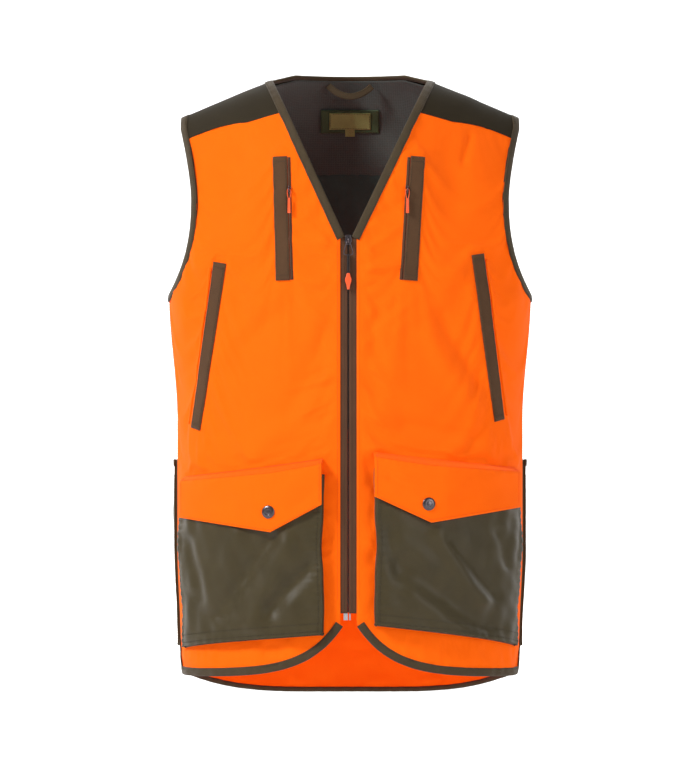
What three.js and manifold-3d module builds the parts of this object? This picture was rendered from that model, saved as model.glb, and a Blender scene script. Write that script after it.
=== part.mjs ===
// Hunting vest in blaze orange and olive, built as separate sewn pieces around one
// shared torso surface.  Millimetres, +Z up, the front faces -Y, and the wearer's
// right side is -X.  The origin is the middle of the neck, level with the top of
// the back neckline.
import * as THREE from 'three';
import { mergeVertices } from 'three/addons/utils/BufferGeometryUtils.js';
import Module from 'manifold-3d';

const wasm = await Module();
wasm.setup();

// ---------------------------------------------------------------- driving sizes
const GARMENT_HEIGHT = 744;      // back hem to back neckline
const ARMPIT_WIDTH = 216;        // half width of the torso at the armpit
const WAIST_WIDTH = 206;         // half width below the chest
const HEM_WIDTH = 198;           // half width at the back hem
const FRONT_DEPTH = 122;         // side seam to front middle
const BACK_DEPTH = 108;          // side seam to back middle
const SHOULDER_ROUND = 110;      // height over which front and back close to the shoulder
const NECK_HALF = 92;            // neck point to the middle
const SHOULDER_HALF = 201;       // shoulder tip to the middle
const SHOULDER_SLOPE = 0.424;    // fall of the shoulder line
const NECK_POINT_HEIGHT = 735;
const ARMPIT_HEIGHT = 480;       // lowest point of the armhole
const OPENING_HEIGHT = 468;      // the fronts swing open below this level
const V_POINT_HEIGHT = 548;      // where the neckline meets the zip
const ZIP_X = -2;                // the zip lies a little to the wearer's right
const ZIP_BOTTOM = 103;
const SLOT_HALF = 1.2;           // half the slot between the two zip halves
const TAPE_WIDTH = 14;
const BINDING_WIDTH = 9.5;
const CLOTH = 1.2;               // thickness of the shell cloth
const TRIM_LOW = 1.9;            // trims lie on the cloth between these two lifts
const TRIM_HIGH = 3.3;
const SNAP_RADIUS = 7.8;

// Each front: heights and half widths of its pockets, by wearer's side.
const RIGHT = {
  name: 'right', sign: -1,
  chestTop: { x: 82.5, h: 642 }, chestBottom: { x: 79, h: 496 },
  handTop: { x: 153.5, h: 517 }, handBottom: { x: 183, h: 320 },
  flap: { outer: 205, inner: 34, outerTop: 262, innerTop: 284, innerLow: 231, outerLow: 214, tipX: 97, tip: 198 },
  snap: { x: 99, h: 222 },
  pocket: { inner: 33, outerLow: 58, innerLow: 76 },
};
const LEFT = {
  name: 'left', sign: 1,
  chestTop: { x: 80, h: 642 }, chestBottom: { x: 71, h: 496 },
  handTop: { x: 151, h: 527 }, handBottom: { x: 177, h: 330 },
  flap: { outer: 205, inner: 30, outerTop: 273, innerTop: 292, innerLow: 241, outerLow: 227, tipX: 99, tip: 210 },
  snap: { x: 95.5, h: 231.5 },
  pocket: { inner: 31, outerLow: 60, innerLow: 87 },
};
const CHEST_WELT_WIDTH = 16.8;
const HAND_WELT_WIDTH = 16.5;

// -------------------------------------------------------------------- materials
const cloth = (color, roughness = 0.85) => new THREE.MeshStandardMaterial({ color, roughness, metalness: 0 });
const ORANGE = cloth(0xff6e0a);
const OLIVE = cloth(0x58503a);
const YOKE = cloth(0x3c3423);
const TRIM = cloth(0x5a4a34);
const LINING = cloth(0x2d2d2d, 0.95);
const LABEL = cloth(0x6e5528, 0.6);
const GUNMETAL = new THREE.MeshStandardMaterial({ color: 0x4b4a50, roughness: 0.35, metalness: 1 });
const GRIP = new THREE.MeshStandardMaterial({ color: 0xff6e32, roughness: 0.45, metalness: 0 });

// ------------------------------------------------------------ the torso surface
const mix = (a, b, t) => a + (b - a) * t;
const clamp = (v, lo, hi) => Math.min(hi, Math.max(lo, v));
const safeAsin = (v) => Math.asin(clamp(v, -1, 1));
const ease = (t) => clamp(t, 0, 1) ** 2 * (3 - 2 * clamp(t, 0, 1));

function halfWidth(h) {
  if (h < 60) return mix(HEM_WIDTH, WAIST_WIDTH - 4, ease(h / 60));
  return mix(WAIST_WIDTH - 4, WAIST_WIDTH, ease((h - 60) / 120))
    + (ARMPIT_WIDTH - WAIST_WIDTH) * ease((h - 330) / 150);
}

function ridgeHeight(x) {
  const run = Math.sqrt(x * x + 30 * 30) - Math.sqrt(NECK_HALF * NECK_HALF + 30 * 30);
  return NECK_POINT_HEIGHT + 1.5 - SHOULDER_SLOPE * run;
}

function closing(x, h) {
  const below = clamp(ridgeHeight(x) - h, 0.02, SHOULDER_ROUND);
  return Math.sqrt(1 - (1 - below / SHOULDER_ROUND) ** 2);
}

// Angle 0 is the front middle, 90 degrees the wearer's left side, 180 the back middle.
function surfacePoint(angle, h) {
  const x = halfWidth(h) * Math.sin(angle);
  const depth = Math.cos(angle) > 0 ? FRONT_DEPTH : BACK_DEPTH;
  const y = -Math.cos(angle) * depth * closing(x, h);
  return new THREE.Vector3(x, y, h - GARMENT_HEIGHT);
}

function surfaceNormal(angle, h) {
  const top = ridgeHeight(halfWidth(h) * Math.sin(angle)) - 0.6;
  const level = Math.min(h, top);
  const across = surfacePoint(angle + 0.002, level).sub(surfacePoint(angle - 0.002, level));
  const up = surfacePoint(angle, level + 0.4).sub(surfacePoint(angle, level - 0.4));
  return across.cross(up).normalize();
}

function lifted(angle, h, lift) {
  return surfacePoint(angle, h).addScaledVector(surfaceNormal(angle, h), lift);
}

// A place on the front or the back, given by its distance from the middle.
const onFront = (x, h, lift = 0) => [safeAsin(x / (halfWidth(h) + lift)), h];
const onBack = (x, h, lift = 0) => [Math.PI - safeAsin(x / (halfWidth(h) + lift)), h];

// --------------------------------------------------------------- solid builders
function closedSolid(outer, inner, wrap = false) {
  const rows = outer.length;
  const columns = outer[0].length;
  const positions = [...outer.flat(), ...inner.flat()].flatMap((p) => p.toArray());
  const outerAt = (r, c) => (r % rows) * columns + c;
  const innerAt = (r, c) => rows * columns + outerAt(r, c);
  const faces = [];
  const quad = (a, b, c, d) => faces.push(a, b, c, a, c, d);
  const lastRow = wrap ? rows : rows - 1;
  for (let r = 0; r < lastRow; r += 1) {
    for (let c = 0; c < columns - 1; c += 1) {
      quad(outerAt(r, c), outerAt(r, c + 1), outerAt(r + 1, c + 1), outerAt(r + 1, c));
      quad(innerAt(r, c), innerAt(r + 1, c), innerAt(r + 1, c + 1), innerAt(r, c + 1));
    }
    quad(outerAt(r, 0), outerAt(r + 1, 0), innerAt(r + 1, 0), innerAt(r, 0));
    const e = columns - 1;
    quad(outerAt(r + 1, e), outerAt(r, e), innerAt(r, e), innerAt(r + 1, e));
  }
  for (let c = 0; !wrap && c < columns - 1; c += 1) {
    quad(outerAt(0, c + 1), outerAt(0, c), innerAt(0, c), innerAt(0, c + 1));
    const e = rows - 1;
    quad(outerAt(e, c), outerAt(e, c + 1), innerAt(e, c + 1), innerAt(e, c));
  }
  const geometry = new THREE.BufferGeometry();
  geometry.setAttribute('position', new THREE.Float32BufferAttribute(positions, 3));
  geometry.setIndex(signedVolume(positions, faces) < 0 ? faces.reverse() : faces);
  return geometry;
}

function signedVolume(positions, faces) {
  const corner = (i) => new THREE.Vector3(positions[3 * i], positions[3 * i + 1], positions[3 * i + 2]);
  let volume = 0;
  for (let i = 0; i < faces.length; i += 3) {
    volume += corner(faces[i]).dot(corner(faces[i + 1]).cross(corner(faces[i + 2])));
  }
  return volume;
}

// A sheet over the torso.  place(u, v) gives [angle, height]; the lifts may vary too.
function sheet(place, columns, rows, low, high) {
  const lowAt = typeof low === 'function' ? low : () => low;
  const highAt = typeof high === 'function' ? high : () => high;
  const grid = (liftAt) => Array.from({ length: rows + 1 }, (_, r) => (
    Array.from({ length: columns + 1 }, (_, c) => {
      const [angle, h] = place(c / columns, r / rows);
      return lifted(angle, h, liftAt(c / columns, r / rows));
    })
  ));
  return closedSolid(grid(highAt), grid(lowAt));
}

// A flat strip that follows a line on the torso, between two distances beside it.
function strip(line, near, far, low, high, wrap = false) {
  const count = line.length;
  const outer = [];
  const inner = [];
  line.forEach(([angle, h], i) => {
    const before = wrap ? line[(i + count - 1) % count] : line[Math.max(i - 1, 0)];
    const after = wrap ? line[(i + 1) % count] : line[Math.min(i + 1, count - 1)];
    const normal = surfaceNormal(angle, h);
    const along = surfacePoint(...after).sub(surfacePoint(...before));
    const beside = normal.clone().cross(along).normalize();
    const at = (side, lift) => lifted(angle, h, lift).addScaledVector(beside, side);
    outer.push([at(near, high), at(far, high)]);
    inner.push([at(near, low), at(far, low)]);
  });
  return closedSolid(outer, inner, wrap);
}

const steps = (count, placeAt) => Array.from({ length: count + 1 }, (_, i) => placeAt(i / count));

function toManifold(geometry) {
  const bare = geometry.clone();
  bare.deleteAttribute('normal');
  bare.deleteAttribute('uv');
  const merged = mergeVertices(bare, 1e-4);
  return new wasm.Manifold(new wasm.Mesh({
    numProp: 3,
    vertProperties: new Float32Array(merged.attributes.position.array),
    triVerts: new Uint32Array(merged.index.array),
  }));
}

function fromManifold(solid) {
  const mesh = solid.getMesh();
  const geometry = new THREE.BufferGeometry();
  geometry.setAttribute('position', new THREE.Float32BufferAttribute(mesh.vertProperties, 3));
  geometry.setIndex(Array.from(mesh.triVerts));
  return geometry;
}

const joined = (first, ...others) => (
  fromManifold(others.reduce((solid, next) => solid.add(toManifold(next)), toManifold(first)))
);
const cut = (from, tool) => fromManifold(toManifold(from).subtract(toManifold(tool)));

// Local frame on the surface: X across, -Y outwards, Z up the cloth.
function snapFrame(angle, h) {
  const outwards = surfaceNormal(angle, h);
  const up = surfacePoint(angle, h + 0.5).sub(surfacePoint(angle, h - 0.5)).normalize();
  const across = up.clone().cross(outwards).normalize();
  const basis = new THREE.Matrix4().makeBasis(across, outwards.clone().negate(), up);
  return basis.setPosition(surfacePoint(angle, h));
}

// A block in such a frame, between two lifts, centred at height z.
function block(width, tall, low, high, z) {
  const box = new THREE.BoxGeometry(width, high - low, tall);
  return box.translate(0, -(low + high) / 2, z);
}

// A closed wire of square section in the XZ plane, through the given [x, z] points.
function ring(points, half, low, high) {
  const count = points.length;
  const outer = [];
  const inner = [];
  points.forEach(([x, z], i) => {
    const [bx, bz] = points[(i + count - 1) % count];
    const [ax, az] = points[(i + 1) % count];
    const length = Math.hypot(ax - bx, az - bz);
    const nx = (az - bz) / length;
    const nz = -(ax - bx) / length;
    const at = (side, lift) => new THREE.Vector3(x + side * nx, -lift, z + side * nz);
    outer.push([at(half, low), at(half, high)]);
    inner.push([at(-half, low), at(-half, high)]);
  });
  return closedSolid(outer, inner, true);
}

const group = new THREE.Group();
group.name = 'vest';

function add(name, geometry, material, matrix = null) {
  const mesh = new THREE.Mesh(geometry, material);
  mesh.name = name;
  if (matrix) matrix.decompose(mesh.position, mesh.quaternion, mesh.scale);
  group.add(mesh);
}

// ------------------------------------------------------------- cut of the pieces
// Distance from the middle to the armhole edge.
function armholeEdge(h) {
  const low = clamp((594 - h) / (594 - ARMPIT_HEIGHT), 0, 1);
  const high = clamp((h - 594) / 84, 0, 1);
  return 188 + (ARMPIT_WIDTH - 188) * low ** 2.4 + 13.5 * high ** 1.5;
}
const backArmholeEdge = (h) => armholeEdge(h) - 3 * ease((h - ARMPIT_HEIGHT) / 60);

// The V neckline runs straight from the zip to the neck point.
const neckEdge = (sign, h) => (
  mix(ZIP_X + sign * 5.5, sign * NECK_HALF, (h - V_POINT_HEIGHT) / (NECK_POINT_HEIGHT - 2 - V_POINT_HEIGHT))
);
function frontInnerEdge(sign, h) {
  const beside = sign * (neckEdge(sign, h) - ZIP_X) + 0.8;
  return ZIP_X + sign * Math.max(10.2, beside);
}
const neckline = (x) => Math.min(ridgeHeight(x) - 1, GARMENT_HEIGHT - 0.6);
const frontHem = (x) => 26 + 77 * Math.exp(-Math.abs(x) / 42);
const backHem = (angle) => 27 * Math.abs(Math.sin(angle)) ** 4;
const SIDE = THREE.MathUtils.degToRad(87.8);
const BACK_SIDE = THREE.MathUtils.degToRad(90.3);
const YOKE_SEAM = { inner: 698, outer: 665, back: 640 };

function backPlace(bottom, top, sideLow, sideHigh) {
  return (u, v) => {
    const level = mix(sideLow, sideHigh, v);
    const limit = Math.min(safeAsin((backArmholeEdge(level) - 1) / halfWidth(level)), Math.PI - BACK_SIDE);
    const angle = Math.PI + mix(-limit, limit, u);
    const x = halfWidth(level) * Math.sin(angle);
    return [angle, mix(bottom(angle), top(x), v)];
  };
}

// The back is one grid below the armpits and one above, welded into one piece.
const backLower = backPlace(backHem, () => ARMPIT_HEIGHT, 20, ARMPIT_HEIGHT);
const backUpper = backPlace(() => ARMPIT_HEIGHT, () => YOKE_SEAM.back, ARMPIT_HEIGHT, YOKE_SEAM.back);
const backWhole = (u, v) => (v < 0.5 ? backLower(u, v * 2) : backUpper(u, v * 2 - 1));
add('back_panel', sheet(backWhole, 20, 12, 0, CLOTH), ORANGE);

const yokeTop = (x) => neckline(x) - 2.5 * ease((Math.abs(x) - 150) / 45);
const yokePlace = backPlace(() => YOKE_SEAM.back + 0.8, yokeTop, YOKE_SEAM.back + 0.8, 687);
add('back_yoke', sheet((u, v) => yokePlace(u, 1 - (1 - v) ** 1.5), 16, 5, 0, CLOTH), YOKE);

// Charcoal lining behind the wearer's shoulders, ending above the game pocket.
const liningPlace = (u, v) => {
  const rise = 1 - (1 - v) ** 1.7;
  const limit = Math.asin((backArmholeEdge(Math.max(mix(330, 680, rise), ARMPIT_HEIGHT)) - 15) / ARMPIT_WIDTH);
  const angle = Math.PI + mix(-limit, limit, u);
  return [angle, mix(330, neckline(ARMPIT_WIDTH * Math.sin(angle)) - 10, rise)];
};
add('back_lining', sheet(liningPlace, 14, 12, -3.4, -2.4), LINING);

// The neck binding caps the back neckline between the two neck points.
const neckLine = steps(14, (t) => {
  const x = mix(89, -89, t);
  const [angle] = onBack(x, Math.min(neckline(x), 735));
  return [angle, neckline(x)];
});
add('neck_binding', strip(neckLine, -8.5, 0, TRIM_LOW, TRIM_HIGH), TRIM);

const backHemLine = steps(20, (t) => {
  const angle = mix(BACK_SIDE + 0.03, 2 * Math.PI - BACK_SIDE - 0.03, t);
  return [angle, backHem(angle)];
});
add('back_hem_binding', strip(backHemLine, 0, 6, TRIM_LOW, TRIM_HIGH), TRIM);

// --------------------------------------------------- a pouch, open along its top
function pouch(edge, bottom, top, liftAt, columns, rows) {
  const wall = 1.4;
  const place = (inset, rise) => (u, v) => {
    const [a, b] = edge;
    const angle = mix(a + Math.sign(b - a) * (inset / ARMPIT_WIDTH), b - Math.sign(b - a) * (inset / ARMPIT_WIDTH), u);
    return [angle, mix(bottom(u) + inset, top(u) + rise, v)];
  };
  const body = sheet(place(0, 0), columns, rows, 2.1, (u) => liftAt(u));
  const hollow = sheet(place(wall, 12), columns, rows, -4, (u) => liftAt(u) - wall);
  return cut(body, hollow);
}

const GAME_EDGE = [THREE.MathUtils.degToRad(93.5), THREE.MathUtils.degToRad(266.5)];
const gameLift = (u) => 5 + 9 * Math.sin(Math.PI * u) ** 0.6;
add('game_pocket', pouch(GAME_EDGE, () => 58, () => 282, gameLift, 18, 3), OLIVE);

// --------------------------------------------------------------- label and loop
const plate = (width, low, high, h0, h1) => (
  sheet((u, v) => onBack(mix(-width / 2, width / 2, u), mix(h0, h1, v)), 4, 3, low, high)
);
add('label_patch', plate(73, -5.8, -5, 679, 708), OLIVE);
add('label_plate', plate(52, -7, -6.2, 684, 705), LABEL);
add('size_tab', plate(12, -7, -6.2, 675, 682), LABEL);

const LOOP_Y = surfacePoint(Math.PI, 742).y - 5;
const loopShape = new THREE.Shape();
loopShape.moveTo(-26, 738);
loopShape.quadraticCurveTo(0, 716, 27, 737);
loopShape.lineTo(27, 729);
loopShape.quadraticCurveTo(0, 708, -26, 730);
loopShape.closePath();
const loop = new THREE.ExtrudeGeometry(loopShape, { depth: 1.4, bevelEnabled: false, curveSegments: 8 });
loop.rotateX(Math.PI / 2);
loop.translate(0, LOOP_Y, -GARMENT_HEIGHT);
add('hang_loop', loop, TRIM);

// ----------------------------------------------------------------- both fronts
const SLIDER_HEIGHT = 541.5;     // level of the wire's pivot
for (const side of [RIGHT, LEFT]) {
  const { name, sign } = side;
  const toward = -sign;          // sideways sign of a strip drawn upwards
  const outerAngle = (h) => sign * Math.min(SIDE, safeAsin((armholeEdge(h) - 1) / halfWidth(h)));
  const between = (innerHeight, outerHeight) => {
    const [innerAngle] = onFront(frontInnerEdge(sign, innerHeight), innerHeight);
    return (u) => [mix(outerAngle(outerHeight), innerAngle, u), mix(outerHeight, innerHeight, u)];
  };

  const yoke = (u, v) => {
    const t = 1 - (1 - v) ** 1.5;
    const [angle, h] = between(mix(YOKE_SEAM.inner, 733.5, t), mix(YOKE_SEAM.outer, 687.5, t))(u);
    return [angle, Math.min(h, ridgeHeight(halfWidth(h) * Math.sin(angle)) - 1)];
  };
  add(`front_yoke_${name}`, sheet(yoke, 6, 5, 0, CLOTH), YOKE);

  const upper = (u, v) => (
    between(mix(OPENING_HEIGHT + 0.4, YOKE_SEAM.inner - 0.8, v), mix(OPENING_HEIGHT + 0.4, YOKE_SEAM.outer - 0.8, v))(u)
  );
  add(`front_upper_${name}`, sheet(upper, 9, 12, 0, CLOTH), ORANGE);

  const lower = (u, v) => {
    const [innerAngle] = onFront(ZIP_X + sign * 10.2, 300);
    const angle = mix(sign * SIDE, innerAngle, 1 - (1 - u) ** 1.4);
    return [angle, mix(frontHem(WAIST_WIDTH * Math.sin(angle)), OPENING_HEIGHT - 0.4, v)];
  };
  add(`front_lower_${name}`, sheet(lower, 14, 6, 0, CLOTH), ORANGE);

  // Bindings: the V neckline, the armhole loop, and the hem curve with the side vent.
  const neckRun = steps(13, (t) => {
    const h = mix(V_POINT_HEIGHT + 2, NECK_POINT_HEIGHT - 1.5, 1 - (1 - t) ** 1.8);
    return onFront(neckEdge(sign, h), h);
  });
  add(`v_binding_${name}`, strip(neckRun, 0, toward * BINDING_WIDTH, TRIM_LOW, TRIM_HIGH), TRIM);

  const climb = (t) => ARMPIT_HEIGHT + 1 + 208 * (1 - Math.cos(t * Math.PI)) / 2;
  const frontRun = steps(14, (t) => [sign * Math.asin(armholeEdge(climb(t)) / halfWidth(climb(t)) - 0.001), climb(t)]);
  const backRun = steps(14, (t) => {
    const h = climb(1 - t);
    return [sign * (Math.PI - Math.asin(backArmholeEdge(h) / halfWidth(h) - 0.001)), h];
  });
  const armholeLoop = [...frontRun, ...backRun];
  add(`armhole_binding_${name}`, strip(armholeLoop, 0, sign * BINDING_WIDTH, TRIM_LOW, TRIM_HIGH, true), TRIM);

  const hemRun = steps(18, (t) => {
    const angle = sign * mix(THREE.MathUtils.degToRad(3.2), SIDE, t ** 1.5);
    return [angle, frontHem(WAIST_WIDTH * Math.sin(angle)) - 1];
  });
  const ventRun = steps(2, (t) => [sign * SIDE, mix(34, 66, t)]);
  const hemBinding = strip([...hemRun, ...ventRun], 0, sign * BINDING_WIDTH, TRIM_LOW, TRIM_HIGH);
  add(`front_hem_binding_${name}`, hemBinding, TRIM);

  // Zip: tape and coil of one half, above and below the opening level.
  const zipHalf = (low, high) => {
    const line = [onFront(ZIP_X, low), onFront(ZIP_X, high)];
    const near = toward * (SLOT_HALF + 0.1);
    const tape = strip(line, near, toward * TAPE_WIDTH, -1.9, -0.7);
    const coil = strip(line, near, toward * 3.4, -4.2, -1.8);
    return joined(tape, coil);
  };
  add(`zip_lower_${name}`, zipHalf(ZIP_BOTTOM, OPENING_HEIGHT - 0.4), TRIM);
  add(`zip_upper_${name}`, zipHalf(OPENING_HEIGHT + 0.4, V_POINT_HEIGHT - 1), TRIM);

  // Chest pocket: welt, zip beside its inner edge, bag behind the cloth.
  const along = (low, high) => (t) => onFront(sign * mix(low.x, high.x, t), mix(low.h, high.h, t));
  const chestRun = steps(4, along(side.chestBottom, side.chestTop));
  const half = CHEST_WELT_WIDTH / 2;
  add(`chest_welt_${name}`, strip(chestRun, -half, half, TRIM_LOW, TRIM_HIGH), TRIM);
  const chestZip = strip(chestRun, -toward * (half + 0.5), -toward * (half + 4), TRIM_LOW, 2.6);
  add(`chest_zip_${name}`, chestZip, TRIM);
  const chestBag = (u, v) => onFront(sign * mix(48, 132, u), mix(500, 640, v));
  add(`chest_bag_${name}`, sheet(chestBag, 4, 4, -4, -1.6), LINING);

  // Slanted hand pocket: welt outside, bag behind the cloth.
  const handRun = steps(6, along(side.handBottom, side.handTop));
  const handHalf = HAND_WELT_WIDTH / 2;
  add(`hand_welt_${name}`, strip(handRun, -handHalf, handHalf, TRIM_LOW, TRIM_HIGH), TRIM);
  const handBag = (u, v) => onFront(sign * mix(70, 184, u), mix(304, 462, v));
  add(`hand_bag_${name}`, sheet(handBag, 6, 3, -4, -1.6), LINING);

  // Cargo pocket: a bellows pouch under a pointed flap with a snap.
  const outerEdge = sign * THREE.MathUtils.degToRad(75.5);
  const [innerEdge] = onFront(sign * side.pocket.inner, 200, 14);
  const pocketLift = (u) => 6 + 8 * Math.min(1, 2 * u);
  const { flap, snap } = side;
  const flapTop = (u) => mix(flap.outerTop, flap.innerTop, u);
  const pocketBody = pouch(
    [outerEdge, innerEdge],
    (u) => mix(side.pocket.outerLow, side.pocket.innerLow, u),
    (u) => flapTop(u) - 18,
    pocketLift, 12, 3,
  );
  add(`cargo_pocket_${name}`, pocketBody, OLIVE);

  const tipAt = (flap.outer - flap.tipX) / (flap.outer - flap.inner);
  const flapEdge = (u) => (
    u < tipAt ? mix(flap.outerLow, flap.tip, u / tipAt) : mix(flap.tip, flap.innerLow, (u - tipAt) / (1 - tipAt))
  );
  const flapColumns = 14;
  const tipColumn = Math.round(tipAt * flapColumns) / flapColumns;
  const reach = (u) => (u < tipColumn ? mix(0, tipAt, u / tipColumn) : mix(tipAt, 1, (u - tipColumn) / (1 - tipColumn)));
  const drop = (v) => (v < 0.25 ? mix(0, 0.13, v / 0.25) : mix(0.13, 1, (v - 0.25) / 0.75));
  const flapPlace = (u, v) => {
    const across = reach(u);
    const h = mix(flapTop(across), flapEdge(across), drop(v));
    const lift = 4 + pocketLift(across);
    return onFront(sign * mix(flap.outer, flap.inner, across), h, lift);
  };
  const flapLift = (extra) => (u, v) => mix(TRIM_LOW, pocketLift(reach(u)) + 4, Math.min(1, v / 0.25)) + extra;
  add(`cargo_flap_${name}`, sheet(flapPlace, flapColumns, 4, flapLift(0), flapLift(CLOTH)), ORANGE);

  // Snap fastener, turned about the line that stands square to the cloth.
  const [snapAngle] = onFront(sign * snap.x, snap.h, 18);
  const seat = snapFrame(snapAngle, snap.h);
  const turned = (profile) => (
    new THREE.LatheGeometry(profile.map(([r, lift]) => new THREE.Vector2(r, -lift)).reverse(), 20)
  );
  const cap = [[0, 19.6], [SNAP_RADIUS, 19.6], [SNAP_RADIUS, 20.3], [5.6, 21.6], [2.2, 21.8], [1.6, 21.3], [0, 21.3]];
  const socket = [[0, 16.9], [2.4, 16.9], [2.4, 16.3], [5.6, 16.3], [6.2, 17.6], [0, 17.6]];
  const stud = [[0, 14.35], [6, 14.35], [6, 15.1], [2, 15.3], [1.7, 16.6], [0, 16.6]];
  add(`snap_cap_${name}`, turned(cap), GUNMETAL, seat);
  add(`snap_socket_${name}`, turned(socket), GUNMETAL, seat);
  add(`snap_stud_${name}`, turned(stud), GUNMETAL, seat);

  // Chest zip slider with its moulded pull.
  const chestHeight = 603;
  const share = (chestHeight - side.chestBottom.h) / (side.chestTop.h - side.chestBottom.h);
  const chestX = sign * (mix(side.chestBottom.x, side.chestTop.x, share) - half - 2.3);
  const [chestAngle] = onFront(chestX, chestHeight);
  const chestSeat = snapFrame(chestAngle, chestHeight);
  const body = joined(block(3.4, 9, 2.9, 4.2, 0), block(1.6, 6.4, 4.1, 8, 0));
  add(`chest_slider_${name}`, cut(body, block(5, 4, 4.8, 7.2, 0)), GUNMETAL, chestSeat);
  const loopPoint = (t) => {
    const turn = t * (11 / 12) * 2 * Math.PI;
    return [2.8 * Math.sin(turn), 5.3 * (Math.cos(turn) - 1)];
  };
  const cordLoop = ring(steps(11, loopPoint), 0.5, 5.5, 6.5);
  add(`chest_pull_${name}`, joined(cordLoop, block(5, 18, 4.7, 7.3, -19)), GRIP, chestSeat);
}

// ------------------------------------------------------- main zip: slider and pull
const zipSeat = (h) => new THREE.Matrix4().makeTranslation(ZIP_X, -FRONT_DEPTH, h - GARMENT_HEIGHT);
const frontPlate = block(8.6, 12, -0.3, 1.3, 2);
const backPlate = block(8.6, 12, -6.2, -4.6, 2);
const post = block(1.6, 3.5, -4.7, -0.2, 6);
const crown = block(2.2, 7, 1.2, 5.2, 1.5);
const crownHole = block(5, 3.6, 2.5, 4.3, 0);
add('zip_slider', cut(joined(frontPlate, post, backPlate, crown), crownHole), GUNMETAL, zipSeat(SLIDER_HEIGHT));

// The wire hangs from the crown and widens to a straight foot.
const wirePoints = [[-1.9, 0], [1.9, 0], [3.6, -5], [5.4, -13.5], [4, -16], [-4, -16], [-5.4, -13.5], [-3.6, -5]];
add('zip_pull_wire', ring(wirePoints, 0.6, 2.8, 4), GUNMETAL, zipSeat(SLIDER_HEIGHT));

// A doubled cord loops round the foot and ends in a moulded grip.
const CORD_DEPTH = 1.7;
const cordTurn = steps(5, (t) => [CORD_DEPTH * Math.cos(t * Math.PI), CORD_DEPTH * Math.sin(t * Math.PI)]);
const cordPath = [...cordTurn, [-CORD_DEPTH, -22], [CORD_DEPTH, -22]];
const cord = ring(cordPath, 0.6, -1.7, 1.7).rotateZ(Math.PI / 2);
const grip = block(8, 20, -2.4, 2.4, -31);
const gripSeat = zipSeat(SLIDER_HEIGHT - 16).multiply(new THREE.Matrix4().makeTranslation(0, -3.4, 0));
add('zip_pull_grip', joined(cord, grip), GRIP, gripSeat);

// Insertion pin on the wearer's left half, retainer box on the right half.
const endSeat = zipSeat(ZIP_BOTTOM - 5);
add('zip_box', new THREE.BoxGeometry(5, 4.5, 8).translate(-3.1, 2.4, 0), GUNMETAL, endSeat);
add('zip_pin', new THREE.BoxGeometry(1.8, 2, 8).translate(1.9, 2.4, 0), GUNMETAL, endSeat);

export default group;
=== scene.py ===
# %% [markdown]
# # A hunting vest in blaze orange and olive
# The vest is built from its sewn pieces: panels, yokes, bindings, pockets and zips.
# Each cloth piece lies on one shared torso surface, so seams meet without fitting.
# Panels are relaxed with Blender's cloth solver, and the trims follow their folds.

# %% Load the frame
import math
import bpy
import numpy as np
from mathutils import Matrix, Vector
from mathutils.kdtree import KDTree


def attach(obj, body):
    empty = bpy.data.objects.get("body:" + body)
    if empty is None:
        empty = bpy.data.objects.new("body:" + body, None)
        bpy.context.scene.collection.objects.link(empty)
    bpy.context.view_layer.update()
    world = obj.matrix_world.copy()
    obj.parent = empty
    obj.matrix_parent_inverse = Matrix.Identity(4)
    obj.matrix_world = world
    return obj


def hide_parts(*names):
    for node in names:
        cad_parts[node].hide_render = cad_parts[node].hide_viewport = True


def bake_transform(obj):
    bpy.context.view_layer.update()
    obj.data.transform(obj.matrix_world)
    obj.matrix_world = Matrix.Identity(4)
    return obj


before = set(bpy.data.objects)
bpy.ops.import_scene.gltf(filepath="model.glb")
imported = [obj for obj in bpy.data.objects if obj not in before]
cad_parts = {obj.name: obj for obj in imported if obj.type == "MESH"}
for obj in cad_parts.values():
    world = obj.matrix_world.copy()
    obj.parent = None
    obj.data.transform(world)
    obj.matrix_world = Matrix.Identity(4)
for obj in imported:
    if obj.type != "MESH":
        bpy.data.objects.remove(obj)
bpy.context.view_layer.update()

MM = 0.001

# %% [markdown]
# ## The torso surface
# A vest on a wearer is a tube of cloth with a rounded front, a rounded back and sloping shoulders.
# It could be draped over a body, but seams would then never meet where the solid model has them.
# So one formula gives the whole torso, and every piece is drawn on it by angle and height.
# Angle 0 is the front middle, 90 degrees the wearer's left side, 180 the back middle.
# Heights are in millimetres above the back hem.  The origin is the middle of the neck.

# %% Sizes shared with the solid model
HEIGHT, ARMPIT_W, WAIST_W, HEM_W = 744, 216, 206, 198
FRONT_D, BACK_D, ROUND = 122, 108, 110
NECK_HALF, SLOPE, NECK_H, ARMPIT_H = 92, 0.424, 735, 480
V_POINT, ZIP_X, ZIP_LOW, NECK_REACH = 548, -2, 103, 93.5
SEAM_IN, SEAM_OUT, SEAM_BACK = 698, 665, 640
SIDES = {"right": -1, "left": 1}


def mix(a, b, t):
    return a + (b - a) * t


def ease(t):
    t = np.clip(t, 0, 1)
    return t * t * (3 - 2 * t)


def unit(v):
    return v / np.linalg.norm(v, axis=-1, keepdims=True)


def run_along(points):
    """Length travelled from the first point to each point of a line."""
    return np.concatenate([[0], np.cumsum(np.linalg.norm(np.diff(points, axis=0), axis=1))])


# %% Torso outline
def half_width(h):
    low = mix(HEM_W, WAIST_W - 4, ease(h / 60))
    high = mix(WAIST_W - 4, WAIST_W, ease((h - 60) / 120)) + (ARMPIT_W - WAIST_W) * ease((h - 330) / 150)
    return np.where(h < 60, low, high)


def ridge(x):
    run = np.sqrt(x * x + 900) - math.sqrt(NECK_HALF ** 2 + 900)
    return NECK_H + 1.5 - SLOPE * run


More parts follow.
